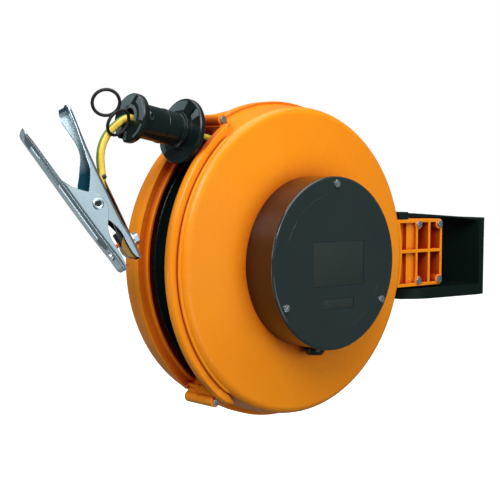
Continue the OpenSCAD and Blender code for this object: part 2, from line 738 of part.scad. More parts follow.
module carbon_brush() color([0.15, 0.15, 0.15]) brush_frame()
    translate([slip_ring_r + running_gap, -brush_w / 2, -brush_w / 2]) cube([brush_l, brush_w, brush_w]);

coil_rings = 8;
function coil(turns, r, pitch) = [for (i = [0:turns * coil_rings])
    let (a = 360 * i / coil_rings) [r * cos(a), r * sin(a), pitch * i / coil_rings]];
module brush_spring() color("silver") brush_frame()
    translate([slip_ring_r + brush_l + 0.9, 0, 0]) rotate([0, 90, 0])
        tube(coil(5, 3, 2.8), 0.5, 6, [0, 0, 1]);

terminal_pcr = 62;
module earth_terminal() color("goldenrod") turned() rotate([0, 0, 20]) translate([terminal_pcr, 0, face_s]) {
    cylinder(r = 9, h = 2);
    cylinder(r = 4, h = 20);
    translate([0, 0, 2]) cylinder(r = 7.5, h = 6.5, $fn = 6);
    translate([0, 0, 12]) cylinder(r = 7.5, h = 6.5, $fn = 6);
}

// ============================ Pawl ============================
pawl_angle = 300;
pawl_pin_pcr = 76;
pawl_s = flange_near_s + flange_t + 1;
pawl_t = 5;
pawl_pin_r = 3;
// The tip of the pawl stands just off the teeth
pawl_tip_y = 34;
pawl_tip_x = sqrt((ratchet_r + 2) * (ratchet_r + 2) - pawl_tip_y * pawl_tip_y) - pawl_pin_pcr;
module pawl_frame() turned() rotate([0, 0, pawl_angle]) translate([pawl_pin_pcr, 0, 0]) children();
module pawl() color("gray") pawl_frame() translate([0, 0, pawl_s]) difference() {
    union() {
        cylinder(r = 8, h = pawl_t);
        linear_extrude(pawl_t)
            polygon([[-7, 3], [4, 6], [pawl_tip_x + 11, pawl_tip_y - 1], [pawl_tip_x, pawl_tip_y]]);
    }
    translate([0, 0, -1]) cylinder(r = pawl_pin_r + running_gap, h = pawl_t + 2);
}

module pawl_pin() color("silver") pawl_frame() translate([0, 0, pawl_s]) {
    translate([0, 0, -0.8]) cylinder(r = pawl_pin_r, h = inner_s - pawl_s);
    translate([0, 0, -0.8]) cylinder(r = pawl_pin_r + 1.6, h = 0.6);
}

// ============================ Drum ============================
module drum_hub() color([0.1, 0.1, 0.11]) turned() {
    translate([0, 0, flange_far_s]) ring(hub_bore, hub_r, hub_end - flange_far_s);
    translate([0, 0, mouth_low]) ring(barrel_r - 4, barrel_r, mouth_w);
    for (s = [mouth_low + 4, mouth_high - 7])
        translate([0, 0, s]) ring(hub_r - 1, barrel_r - 3, 3);
}

module drum_bushes() color("goldenrod") turned()
    for (s = [flange_far_s, hub_end - 12])
        translate([0, 0, s]) ring(axle_r + running_gap, hub_bore, 12);

// Flange disc with a rounded rim and a raised bead near the edge
module drum_flange(s, out) {
    translate([0, 0, s]) {
        ring(hub_r, flange_r - flange_t / 2, flange_t);
        translate([0, 0, flange_t / 2])
            rotate_extrude() translate([flange_r - flange_t / 2, 0]) circle(flange_t / 2);
        translate([0, 0, out]) ring(flange_r - 12, flange_r - 8, flange_t - 0.5);
    }
}

module drum_flange_near() color([0.04, 0.07, 0.07]) turned() drum_flange(flange_near_s, 1.5);
module drum_flange_far() color([0.04, 0.07, 0.07]) turned() difference() {
    drum_flange(flange_far_s, -1);
    translate([0, 0, flange_far_s - 1])
        spring_case_screw_places() cylinder(r = case_screw_r + fit, h = flange_t + 2);
}

tooth = 360 / ratchet_teeth;
module ratchet_ring() color("gray") turned()
    translate([0, 0, flange_near_s + flange_t]) difference() {
        linear_extrude(6) polygon([for (i = [0:ratchet_teeth - 1]) each [
            ratchet_r * [cos(i * tooth), sin(i * tooth)],
            (ratchet_r - 6) * [cos((i + 0.1) * tooth), sin((i + 0.1) * tooth)]]]);
        translate([0, 0, -1]) cylinder(r = hub_r, h = 8);
    }

carrier_s = hub_end;
module slip_ring_carrier() color([0.35, 0.2, 0.12]) turned() translate([0, 0, carrier_s]) {
    ring(axle_r + 0.5, slip_ring_r - 4, 20);
    ring(axle_r + 0.5, slip_ring_r - 1, 2);
}

module slip_ring() color("goldenrod") turned()
    translate([0, 0, carrier_s + 2]) ring(slip_ring_r - 4, slip_ring_r, 12);

case_t = 2.5;
module spring_case_screw_places()
    for (a = [0:60:300]) rotate([0, 0, a + 15]) translate([case_r + case_t + 5, 0, 0]) children();
module spring_case() color("gray") turned() {
    difference() {
        union() {
            translate([0, 0, case_s]) ring(case_r, case_r + case_t, case_depth);
            translate([0, 0, flange_far_s - 2]) ring(case_r, case_r + case_t + 10, 2);
        }
        translate([0, 0, flange_far_s - 3])
            spring_case_screw_places() cylinder(r = case_screw_r + fit, h = 4);
    }
}

module spring_case_cover() color("dimgray") turned()
    translate([0, 0, case_s - 2]) ring(arbor_r + 1, case_r + case_t, 2);

module spring_case_screws() color("silver") turned()
    translate([0, 0, flange_far_s - 2 - case_head_h]) spring_case_screw_places() {
        cylinder(r = case_head_r, h = case_head_h);
        cylinder(r = case_screw_r, h = case_head_h + 2 + flange_t);
    }

// Spiral strip from the arbor out to the case wall
spiral_start = arbor_r + 0.4;
spiral_end = case_r - 0.4 - spring_t;
spiral_steps = spring_turns * 24;
function spiral_r(i) = spiral_start + (spiral_end - spiral_start) * i / spiral_steps;
function spiral_xy(i, grow) = (spiral_r(i) + grow) * [cos(360 * i / 24), sin(360 * i / 24)];
module mainspring() color("slategray") turned()
    translate([0, 0, case_s + 1]) linear_extrude(case_depth - 3)
        polygon(concat([for (i = [0:spiral_steps]) spiral_xy(i, 0)],
            [for (i = [spiral_steps:-1:0]) spiral_xy(i, spring_t)]));

// Lower layers as one plain core, with the step that the first turn grows out of
module winding_core() color([0.75, 0.7, 0.2]) turned() {
    translate([0, 0, mouth_low + seat]) ring(barrel_r, core_r, mouth_w - 2 * seat);
    rotate([0, 0, wind_angle(0)]) translate([core_r - 4, -wind_lead - 12, wind_s(0) - cable_r])
        cube([wind_r - wind_pitch + cable_r - core_r + 4, 12, cable_d]);
}

module cable_winding() color([0.95, 0.8, 0.2]) turned()
    tube(WINDING, cable_r, 6, [0, 0, 1], wind_tangent(0), wind_tangent(all_turns));

// ============================ Cable end ============================
module cable_run() color([0.95, 0.8, 0.2])
    along_cable(wind_lead) cylinder(r = cable_r, h = cord_start_d - wind_lead);

module stop_profile() {
    chamfer = 1.5;
    polygon([[0, 0], [stop_rear_r - chamfer, 0], [stop_rear_r, chamfer], [stop_rear_r, stop_rear_t - chamfer],
        [stop_rear_r - chamfer, stop_rear_t], [stop_neck_r + 2.5, stop_rear_t],
        [stop_neck_r + 2.5, stop_rear_t + 6],
        [stop_neck_r, stop_rear_t + 7], [stop_neck_r, stop_len - stop_front_t - 1],
        [stop_front_r - chamfer, stop_len - stop_front_t], [stop_front_r, stop_len - stop_front_t + chamfer],
        [stop_front_r, stop_len - chamfer], [stop_front_r - chamfer, stop_len], [0, stop_len]]);
}

// Two sunk screws: the front one enters the near half, the rear one the far half
stop_screw_x = 10.5;
stop_screw_in = 8;        // height of a screw's seat above the split plane
stop_screw_l = 17;
module stop_screw_places() {
    translate([stop_screw_x, 0, stop_len - stop_recess - 5]) rotate([90, 0, 0]) children();
    translate([-stop_screw_x, 0, stop_rear_t + 16]) rotate([-90, 0, 0]) children();
}

module stop_body() difference() {
    rotate_extrude() stop_profile();
    translate([0, 0, -1]) cylinder(r = cable_r + fit, h = stop_len);
    translate([0, 0, stop_len - stop_recess]) cylinder(r = 9, h = stop_recess + 1);
    translate([-stop_front_r - 1, -5, stop_len - stop_recess + 2]) cube([stop_front_r, 10, stop_recess]);
    stop_screw_places() translate([0, 0, stop_screw_in]) cylinder(r = 3.6, h = stop_rear_r);
    stop_screw_places() translate([0, 0, stop_screw_in - stop_screw_l - 1])
        cylinder(r = 1.6, h = stop_screw_l + 2);
}

module stop_half(side) along_cable(stop_rear_d) rotate([0, 0, -stop_tilt]) intersection() {
    stop_body();
    translate([-40, side > 0 ? 0.05 : -40.05, -1]) cube([80, 40, stop_len + 2]);
}

module stop_half_near() color([0.1, 0.14, 0.15]) stop_half(-1);
module stop_half_far() color([0.1, 0.14, 0.15]) stop_half(1);

module stop_screws() color("silver") along_cable(stop_rear_d) rotate([0, 0, -stop_tilt])
    stop_screw_places() translate([0, 0, stop_screw_in]) screw(3.2, 1.8, 1.5, stop_screw_l, false);

// Rubber figure-eight hung over the cord
loop_a = [-237.7, -24, 158.5];
loop_b = [-222.1, -21.9, 140.3];
module loop_at(p, tilt, turn)
    at_reel() translate(p) rotate([0, 0, turn]) rotate([90 + tilt, 0, 0])
        rotate_extrude() translate([loop_r, 0]) circle(loop_tube_r, $fn = 24);
module rubber_loops() color([0.05, 0.05, 0.05]) {
    loop_at(loop_a, 24, -28);
    loop_at(loop_b, 26, 9);
}

module free_cord() color([0.95, 0.8, 0.2]) at_reel()
    tube(CORD, cable_r, 10, [0, 1, 0], [-cos(cable_rise), 0, sin(cable_rise)], unit(CORD_END));

// ============================ Earth clamp ============================
// Side views: local x runs from the handles to the jaw, local y is across the clamp
module lever_plates(inner, thick) {
    for (side = [-1, 1])
        translate([0, side * (inner + thick / 2) + thick / 2, 0])
            rotate([90, 0, 0]) linear_extrude(thick) children();
}

upper_tip = [-95, 29.4];
upper_nose = [62, 11.8];
upper_slope = atan2(upper_nose[1] - upper_tip[1], upper_nose[0] - upper_tip[0]);
upper_len = norm(upper_nose - upper_tip);
lower_tip = [-95, -24.2];
lower_nose = [66, -11.6];
lower_slope = atan2(lower_nose[1] - lower_tip[1], lower_nose[0] - lower_tip[0]);
lower_len = norm(lower_nose - lower_tip);

// The back of a lever laps half way into the sheet of its side plates
web_lap = sheet / 2;
module upper_side() difference() {
    polygon([upper_tip - [0, web_lap], upper_nose - [0, web_lap], [63.5, 9], [59, 5.8],
        [44, 6], [35, 6], [27, 4], [18, 0], [10, -6], [0, -9], [-9, -6], [-18, 2],
        [-27.4, 10.6], [-35.8, 15], [-50, 17.2], [-77, 20.4], [-95, 23.5]]);
    circle(pivot_r);
}

// Distance along a sloped back, for a place given by its local x
function along_upper(x) = (x - upper_tip[0]) / cos(upper_slope);
function along_lower(x) = (x - lower_tip[0]) / cos(lower_slope);
window_x = [-43, 9];
window_w = cable_d + 10;
hang_hole_x = -81;
module clamp_upper_lever() color([0.75, 0.82, 0.86]) at_clamp() {
    lever_plates(lever_w / 2, sheet) upper_side();
    translate([upper_tip[0], 0, upper_tip[1]]) rotate([0, -upper_slope, 0]) difference() {
        translate([0, -lever_w / 2 - web_lap, -sheet]) cube([upper_len, lever_w + 2 * web_lap, sheet]);
        translate([along_upper(window_x[0]), -window_w / 2, -5])
            cube([along_upper(window_x[1]) - along_upper(window_x[0]), window_w, 10]);
        translate([along_upper(bolt_x), 0, -5]) cylinder(r = contact_bolt_r + 0.1, h = 10);
        translate([along_upper(hang_hole_x), 0, -5]) cylinder(r = 2.5, h = 10);
    }
}

lower_inner = lever_w / 2 + sheet + seat;
module lower_side() difference() {
    union() {
        polygon([lower_tip + [0, web_lap], lower_nose + [0, web_lap], [66, -9.5], [63.7, -8.7],
            [42, -8.4], [31.6, -7.3], [22, -3.4], [11, 4], [-14, 4], [-21.6, -7.6], [-34, -13.1],
            [-46, -16], [-62, -17.5], [-80, -18.8], [-95, -20.5]]);
        circle(11.5);
    }
    circle(pivot_r);
}

module clamp_lower_lever() color([0.75, 0.82, 0.86]) at_clamp() {
    lever_plates(lower_inner, sheet) lower_side();
    translate([lower_tip[0], 0, lower_tip[1]]) rotate([0, -lower_slope, 0]) difference() {
        translate([0, -lower_inner - web_lap, 0]) cube([lower_len, 2 * (lower_inner + web_lap), sheet]);
        translate([along_lower(rivet_x), 0, -5]) cylinder(r = contact_rivet_r, h = 10);
    }
}

pivot_half = lower_inner + sheet;
module clamp_pivot() color("lightgray") at_clamp() rotate([90, 0, 0]) difference() {
    union() {
        translate([0, 0, -pivot_half - 1.2]) cylinder(r = pivot_r - fit, h = 2 * pivot_half + 2.4);
        for (s = [-pivot_half - 1.2, pivot_half + 0.2])
            translate([0, 0, s]) cylinder(r = pivot_r + 1.2, h = 1);
    }
    translate([0, 0, -pivot_half - 2]) cylinder(r = pivot_r - 1.3, h = 2 * pivot_half + 4);
}

spring_coils = 6;
module clamp_spring() color("dimgray") at_clamp()
    translate([0, 8.4, 0]) rotate([90, 0, 0]) tube(coil(spring_coils, 6, 2.8), 1, 6, [0, 0, 1]);

bolt_x = 45.7;
contact_bolt_r = 4;
rivet_x = 48.8;
contact_rivet_r = 2.5;
function upper_y(x) = upper_tip[1] + (x - upper_tip[0]) * tan(upper_slope);
function lower_y(x) = lower_tip[1] + (x - lower_tip[0]) * tan(lower_slope);
module at_bolt() at_clamp() translate([bolt_x, 0, upper_y(bolt_x)]) rotate([0, -upper_slope, 0]) children();
module at_rivet()
    at_clamp() translate([rivet_x, 0, lower_y(rivet_x)]) rotate([0, -lower_slope, 0]) children();

lug_t = 2.5;
module cable_lug() color("silver") at_bolt() {
    difference() {
        union() {
            translate([-8, -6.5, -sheet - lug_t]) cube([15, 13, lug_t]);
            translate([-13, -4, -sheet - lug_t]) cube([6, 8, lug_t]);
        }
        translate([0, 0, -10]) cylinder(r = contact_bolt_r + 0.1, h = 20);
    }
    translate([-24, 0, -sheet - 5]) rotate([0, 90, 0]) cylinder(r = cable_r + 0.8, h = 12);
}

module contact_bolt() color("silver") at_bolt() {
    cylinder(r = 6.5, h = 5, $fn = 6);
    translate([0, 0, -10]) cylinder(r = contact_bolt_r, h = 10);
}

module contact_nut() color("silver") at_bolt()
    translate([0, 0, -sheet - lug_t - 1]) ring(contact_bolt_r, 6.5, 1);

module brass_contact() color([0.7, 0.57, 0.28]) at_bolt()
    translate([5, 0, -sheet - lug_t - 1]) difference() {
        intersection() {
            translate([0, 7.5, contact_r - 10]) rotate([90, 0, 0]) cylinder(r = contact_r, h = 15);
            translate([-20, -10, -20]) cube([40, 20, 20]);
        }
        translate([-5, 0, -7]) cylinder(r = contact_bolt_r + 0.1, h = 8);
    }

module lower_contact() color([0.78, 0.43, 0.25]) at_rivet() difference() {
    union() {
        translate([-9, -7, sheet]) cube([25, 14, 1.5]);
        translate([-9, -7, sheet]) cube([2, 14, 6]);
        translate([14, -7, sheet]) cube([2, 14, 6]);
    }
    translate([0, 0, -5]) cylinder(r = contact_rivet_r, h = 12);
}

module contact_rivet() color("silver") at_rivet() {
    translate([0, 0, -1.8]) cylinder(r = 4.5, h = 1.8);
    cylinder(r = contact_rivet_r, h = sheet + 1.5);
    translate([0, 0, sheet + 1.5]) cylinder(r = 4, h = 1.2);
}

wall_bracket();
wall_inserts();
swivel_pin();
swivel_pin_clip();
near_shell();
far_shell();
swivel_bushes();
arm_stop_block();
arm_screws();
shell_screws();
axle();
axle_washer();
axle_nut();
spring_arbor();
slipring_cap();
cap_seal();
cap_screws();
supply_gland();
gland_nut();
brush_holder();
carbon_brush();
brush_spring();
earth_terminal();
pawl();
pawl_pin();
drum_hub();
drum_bushes();
drum_flange_near();
drum_flange_far();
ratchet_ring();
slip_ring_carrier();
slip_ring();
spring_case();
spring_case_cover();
spring_case_screws();
mainspring();
winding_core();
cable_winding();
cable_run();
stop_half_near();
stop_half_far();
stop_screws();
rubber_loops();
free_cord();
clamp_upper_lever();
clamp_pivot();
clamp_spring();
cable_lug();
contact_bolt();
contact_nut();
brass_contact();
clamp_lower_lever();
lower_contact();
contact_rivet();
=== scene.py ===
"""Looks of the wall-mounted earthing cable reel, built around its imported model."""
import json
import math

import bmesh
import bpy
from mathutils import Matrix, Vector


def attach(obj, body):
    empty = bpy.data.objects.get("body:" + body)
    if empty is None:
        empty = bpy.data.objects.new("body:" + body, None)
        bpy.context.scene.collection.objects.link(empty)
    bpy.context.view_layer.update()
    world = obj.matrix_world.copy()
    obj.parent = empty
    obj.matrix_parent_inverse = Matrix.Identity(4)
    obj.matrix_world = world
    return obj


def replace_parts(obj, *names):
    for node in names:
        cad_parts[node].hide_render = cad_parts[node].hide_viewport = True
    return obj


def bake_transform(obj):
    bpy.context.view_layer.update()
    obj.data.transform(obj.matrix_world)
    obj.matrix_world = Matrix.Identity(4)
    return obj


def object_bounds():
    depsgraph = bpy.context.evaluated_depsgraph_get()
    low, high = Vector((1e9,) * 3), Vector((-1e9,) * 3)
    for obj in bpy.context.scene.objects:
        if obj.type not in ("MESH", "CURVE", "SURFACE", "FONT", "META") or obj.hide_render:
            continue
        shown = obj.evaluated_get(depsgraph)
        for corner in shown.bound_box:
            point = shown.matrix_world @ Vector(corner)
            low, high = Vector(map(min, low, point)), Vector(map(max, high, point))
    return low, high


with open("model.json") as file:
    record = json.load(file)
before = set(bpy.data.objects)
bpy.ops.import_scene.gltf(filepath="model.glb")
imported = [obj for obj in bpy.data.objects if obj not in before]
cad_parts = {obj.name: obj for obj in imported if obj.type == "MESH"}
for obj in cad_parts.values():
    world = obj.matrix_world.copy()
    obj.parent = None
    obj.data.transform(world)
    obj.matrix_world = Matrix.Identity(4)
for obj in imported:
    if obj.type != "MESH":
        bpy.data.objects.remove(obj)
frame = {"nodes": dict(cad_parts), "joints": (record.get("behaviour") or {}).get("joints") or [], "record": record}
CAD_LOW, CAD_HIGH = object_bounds()

MM = 0.001
NODES = frame["nodes"]
SLOT_OF = {p["node"]: p["material_slot"] for p in frame["record"]["subparts"]}
JOINTS = {j["name"]: j for j in frame["joints"]}

# The middle of the reel's round body, on the drum's axis
REEL = Vector(JOINTS["drum_spin"]["pos_m"])
# Direction in which the cable is pulled out
PULL = Vector(JOINTS["cable_pull"]["axis"]).normalized()
# The clamp's own frame: x from the handles to the jaw, y across, z toward the upper lever
CLAMP = (Matrix.Translation(REEL + MM * Vector((-239.7, -10.6, 61)))
         @ Matrix.Rotation(math.radians(-42), 4, "Z") @ Matrix.Rotation(math.radians(58.5), 4, "Y")
         @ Matrix.Rotation(math.radians(-18), 4, "X"))
# The end of the upper lever's handle; the levers' inner faces darken with painted shade away from it
HANDLES_AT = CLAMP @ (MM * Vector((-92, 0, 22)))


# ---------------------------------------------------------------- camera
def make_camera():
    """The photograph's view: between the mouth's side and the cap's, 3.6 degrees above level, rolled by 0.4."""
    right = Vector((0.73994, -0.67264, 0.00650))
    up = Vector((0.03748, 0.05087, 0.99800))
    back = Vector((-0.67163, -0.73822, 0.06285))
    place = Vector((-1.171656, -0.908249, 0.094781))
    data = bpy.data.cameras.new("camera")
    data.sensor_width = 36
    data.lens = 81.45
    camera = bpy.data.objects.new("camera", data)
    matrix = Matrix((right, up, back)).transposed().to_4x4()
    matrix.translation = place
    camera.matrix_world = matrix
    bpy.context.scene.collection.objects.link(camera)
    bpy.context.scene.camera = camera


make_camera()


# ---------------------------------------------------------------- node helpers
def nodes_of(name):
    """A new material's node tree, its main shader and its object coordinates."""
    made = bpy.data.materials.new(name)
    made.use_nodes = True
    tree = made.node_tree
    shader = tree.nodes["Principled BSDF"]
    coords = tree.nodes.new("ShaderNodeTexCoord").outputs["Object"]
    return made, tree, shader, coords


def noise(tree, coords, scale, detail=4.0, rough=0.55):
    """Output of a noise texture at a scale per metre."""
    node = tree.nodes.new("ShaderNodeTexNoise")
    node.inputs["Scale"].default_value = scale
    node.inputs["Detail"].default_value = detail
    node.inputs["Roughness"].default_value = rough
    tree.links.new(coords, node.inputs["Vector"])
    return node.outputs["Fac"]


def spread(tree, value, low, high, start=0.3, stop=0.7):
    """A value from start to stop, spread over low to high."""
    node = tree.nodes.new("ShaderNodeMapRange")
    node.inputs["From Min"].default_value = start
    node.inputs["From Max"].default_value = stop
    node.inputs["To Min"].default_value = low
    node.inputs["To Max"].default_value = high
    tree.links.new(value, node.inputs["Value"])
    return node.outputs["Result"]


def mixed(tree, share, first, second):
    """A mix of two colours or colour outputs by a share."""
    node = tree.nodes.new("ShaderNodeMix")
    node.data_type = "RGBA"
    for socket, value in ((node.inputs[0], share), (node.inputs[6], first), (node.inputs[7], second)):
        if isinstance(value, bpy.types.NodeSocket):
            tree.links.new(value, socket)
        elif isinstance(value, (int, float)):
            socket.default_value = value
        else:
            socket.default_value = (*value, 1.0)
    return node.outputs[2]


def bumped(tree, shader, height, depth):
    """Adds a bump to the shader, with a depth in metres."""
    node = tree.nodes.new("ShaderNodeBump")
    node.inputs["Distance"].default_value = depth
    node.inputs["Strength"].default_value = 1.0
    tree.links.new(height, node.inputs["Height"])
    if shader.inputs["Normal"].is_linked:
        tree.links.new(shader.inputs["Normal"].links[0].from_socket, node.inputs["Normal"])
    tree.links.new(node.outputs["Normal"], shader.inputs["Normal"])


def linear(*srgb):
    """Linear colour from 0-255 display values."""
    return tuple((c / 255 / 12.92) if c / 255 <= 0.04045 else ((c / 255 + 0.055) / 1.055) ** 2.4 for c in srgb)


# ---------------------------------------------------------------- materials
# Surfaces nearer than this to a place make it a hollow, where the plastic gets painted shade, in metres
HOLLOW_REACH = 0.07


def plastic(name, colour, deep, gloss, spread_of_gloss, grain, grain_depth, shine=0.5, hollow_shade=None, sides=None):
    """Moulded plastic: slow colour drift, cloudy gloss, fine grain, painted shade in its hollows and a painted
    reflection on its sides.
    """
    made, tree, shader, coords = nodes_of(name)
    shader.inputs["Specular IOR Level"].default_value = shine
    drift = spread(tree, noise(tree, coords, 9.0, 3.0), 0.0, 1.0)
    tint = mixed(tree, drift, colour, deep)
    if hollow_shade:
        # Painted shade: hollows found by ambient occlusion take a deeper colour, standing in for shade and light
        # reflected between parts
        open_sky = tree.nodes.new("ShaderNodeAmbientOcclusion")
        open_sky.inputs["Distance"].default_value = HOLLOW_REACH
        open_sky.samples = 8
        tint = mixed(tree, spread(tree, open_sky.outputs["AO"], 0.0, 1.0, 0.3, 0.85), hollow_shade, tint)
    if sides:
        # Painted reflection: faces that don't face along the axle take the sides colour, a brown standing in for the
        # orange shell reflected in the glossy wall
        split = tree.nodes.new("ShaderNodeSeparateXYZ")
        tree.links.new(tree.nodes.new("ShaderNodeTexCoord").outputs["Normal"], split.inputs["Vector"])
        facing = tree.nodes.new("ShaderNodeMath")
        facing.operation = "ABSOLUTE"
        tree.links.new(split.outputs["Y"], facing.inputs[0])
        tint = mixed(tree, spread(tree, facing.outputs["Value"], 0.0, 1.0, 0.15, 0.6), sides, tint)
    tree.links.new(tint, shader.inputs["Base Color"])
    cloud = noise(tree, coords, 34.0, 5.0)
    tree.links.new(spread(tree, cloud, gloss, gloss + spread_of_gloss), shader.inputs["Roughness"])
    bumped(tree, shader, noise(tree, coords, grain, 2.0), grain_depth)
    bumped(tree, shader, noise(tree, coords, 28.0, 1.0), 0.00006)
    return made


def metal(name, colour, deep, gloss, spread_of_gloss, grain, depth=0.000003):
    """Bare or plated metal: cloudy tint, streaky gloss, fine grain."""
    made, tree, shader, coords = nodes_of(name)
    shader.inputs["Metallic"].default_value = 1.0
    cloud = spread(tree, noise(tree, coords, 60.0, 5.0, 0.65), 0.0, 1.0)
    tree.links.new(mixed(tree, cloud, colour, deep), shader.inputs["Base Color"])
    lines = noise(tree, coords, grain, 3.0)
    tree.links.new(spread(tree, lines, gloss, gloss + spread_of_gloss), shader.inputs["Roughness"])
    bumped(tree, shader, lines, depth)
    return made


def painted_lever_inside(name):
    """The levers' inner faces: plating colour at the handles, going over to painted shade in dim teal toward the pivot.
    """
    made, tree, shader, coords = nodes_of(name)
    shader.inputs["Metallic"].default_value = 1.0
    along = tree.nodes.new("ShaderNodeVectorMath")
    along.operation = "DISTANCE"
    along.inputs[1].default_value = HANDLES_AT
    tree.links.new(coords, along.inputs[0])
    # Painted shade: the colour goes to dark teal with distance from the handle's end, standing in for the dark inside
    # of the channel
    painted_shade = spread(tree, along.outputs["Value"], 0.0, 1.0, 0.022, 0.062)
    cloud = spread(tree, noise(tree, coords, 60.0, 5.0, 0.65), 0.0, 0.25)
    bright = mixed(tree, cloud, linear(206, 226, 234), linear(176, 200, 212))
    tree.links.new(mixed(tree, painted_shade, bright, linear(22, 64, 80)), shader.inputs["Base Color"])
    tree.links.new(spread(tree, cloud, 0.3, 0.42), shader.inputs["Roughness"])
    bumped(tree, shader, noise(tree, coords, 60.0, 3.0), 0.0000003)
    return made


def cable_sheath(name):
    """Yellow sheath with two green stripes along it; u runs round the cable."""
    made, tree, shader, coords = nodes_of(name)
    uv = tree.nodes.new("ShaderNodeUVMap").outputs["UV"]
    split = tree.nodes.new("ShaderNodeSeparateXYZ")
    tree.links.new(uv, split.inputs["Vector"])
    yellow = mixed(tree, spread(tree, noise(tree, coords, 120.0), 0.0, 1.0), linear(254, 216, 84), linear(247, 203, 66))
    green = mixed(tree, spread(tree, noise(tree, coords, 120.0), 0.0, 1.0), linear(112, 146, 52), linear(94, 128, 44))
    stripe = tree.nodes.new("ShaderNodeValToRGB")
    stripe.color_ramp.interpolation = "CONSTANT"
    marks = ((0.0, 0), (0.15, 1), (0.40, 0), (0.65, 1), (0.90, 0))
    while len(stripe.color_ramp.elements) < len(marks):
        stripe.color_ramp.elements.new(1.0)
    for band, (place, level) in zip(stripe.color_ramp.elements, marks):
        band.position = place
        band.color = (level, level, level, 1)
    tree.links.new(split.outputs["X"], stripe.inputs["Fac"])
    tree.links.new(mixed(tree, stripe.outputs["Color"], yellow, green), shader.inputs["Base Color"])
    tree.links.new(spread(tree, noise(tree, coords, 200.0), 0.32, 0.46), shader.inputs["Roughness"])
    bumped(tree, shader, noise(tree, coords, 900.0, 2.0), 0.00003)
    return made


MATERIALS = {
    # The orange's hollows get a deep red painted shade, standing in for shade and light reflected between the shells
    "orange_plastic": plastic("orange_plastic", linear(249, 148, 20), linear(246, 141, 16), 0.22, 0.08, 1500.0,
                              0.00001, 0.28, hollow_shade=linear(176, 42, 14)),
    "black_plastic": plastic("black_plastic", linear(14, 28, 27), linear(9, 19, 19), 0.2, 0.12, 900.0, 0.00002,
                             0.4),
    "panel_plastic": plastic("panel_plastic", linear(44, 54, 50), linear(40, 50, 47), 0.3, 0.1, 1600.0, 0.00002,
                             0.35),
    "bracket_plastic": plastic("bracket_plastic", linear(12, 31, 25), linear(8, 23, 19), 0.34, 0.1, 1200.0, 0.00002,
                               0.16),
    "matt_grey": plastic("matt_grey", linear(96, 112, 114), linear(60, 74, 78), 0.5, 0.2, 700.0, 0.00025, 0.5),
    # The cap's wall gets a browner colour: a painted reflection of the orange shell
    "cap_plastic": plastic("cap_plastic", linear(38, 51, 50), linear(33, 45, 45), 0.07, 0.05, 1300.0, 0.000006,
                           0.6, sides=linear(46, 24, 20)),
    "rubber": plastic("rubber", linear(14, 16, 16), linear(22, 24, 24), 0.5, 0.15, 1800.0, 0.00005),
    "nylon": plastic("nylon", linear(226, 222, 205), linear(214, 208, 190), 0.4, 0.1, 900.0, 0.00003),
    "resin": plastic("resin", linear(96, 52, 30), linear(78, 40, 24), 0.4, 0.1, 900.0, 0.00003),
    "carbon": plastic("carbon", linear(34, 34, 34), linear(24, 24, 24), 0.6, 0.15, 2200.0, 0.00005),
    "zinc_steel": metal("zinc_steel", linear(196, 216, 224), linear(189, 210, 219), 0.22, 0.06, 60.0, 0.0000003),
    "zinc_inside_painted_shade": painted_lever_inside("zinc_inside_painted_shade"),
    "screw_steel": metal("screw_steel", linear(228, 233, 236), linear(208, 215, 220), 0.26, 0.12, 700.0),
    "dark_steel": metal("dark_steel", linear(70, 74, 78), linear(52, 55, 58), 0.35, 0.15, 300.0),
    "spring_steel": metal("spring_steel", linear(120, 130, 144), linear(92, 100, 114), 0.26, 0.12, 500.0),
    "brass": metal("brass", linear(178, 146, 78), linear(148, 116, 58), 0.25, 0.15, 400.0),
    "old_copper": metal("old_copper", linear(128, 74, 60), linear(100, 58, 48), 0.3, 0.15, 400.0),
    "copper": metal("copper", linear(206, 118, 74), linear(176, 92, 54), 0.25, 0.15, 400.0),
    "cable_sheath": cable_sheath("cable_sheath"),
}


# ---------------------------------------------------------------- mesh helpers
# Edges sharper than this stay sharp in the shading
CREASE = math.radians(35)


def new_piece(name, bm, body, slot):
    """An object from a bmesh, riding on a body, with its slot's material."""
    mesh = bpy.data.meshes.new(name)
    bm.normal_update()
    bm.to_mesh(mesh)
    bm.free()
    mesh.shade_smooth()
    mesh.set_sharp_from_angle(angle=CREASE)
    mesh.materials.append(MATERIALS[slot])
    piece = bpy.data.objects.new(name, mesh)
    bpy.context.scene.collection.objects.link(piece)
    if body:
        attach(piece, body)
    return piece


def smooth_route(points, steps):
    """Catmull-Rom curve through the points, with a number of steps between each two."""
    route = []
    padded = [2 * points[0] - points[1], *points, 2 * points[-1] - points[-2]]
    for i in range(1, len(padded) - 2):
        a, b, c, d = padded[i - 1:i + 3]
        for k in range(steps):
            t = k / steps
            route.append(0.5 * (2 * b + (c - a) * t + (2 * a - 5 * b + 4 * c - d) * t * t
                                + (3 * b - a - 3 * c + d) * t ** 3))
    return [*route, points[-1]]


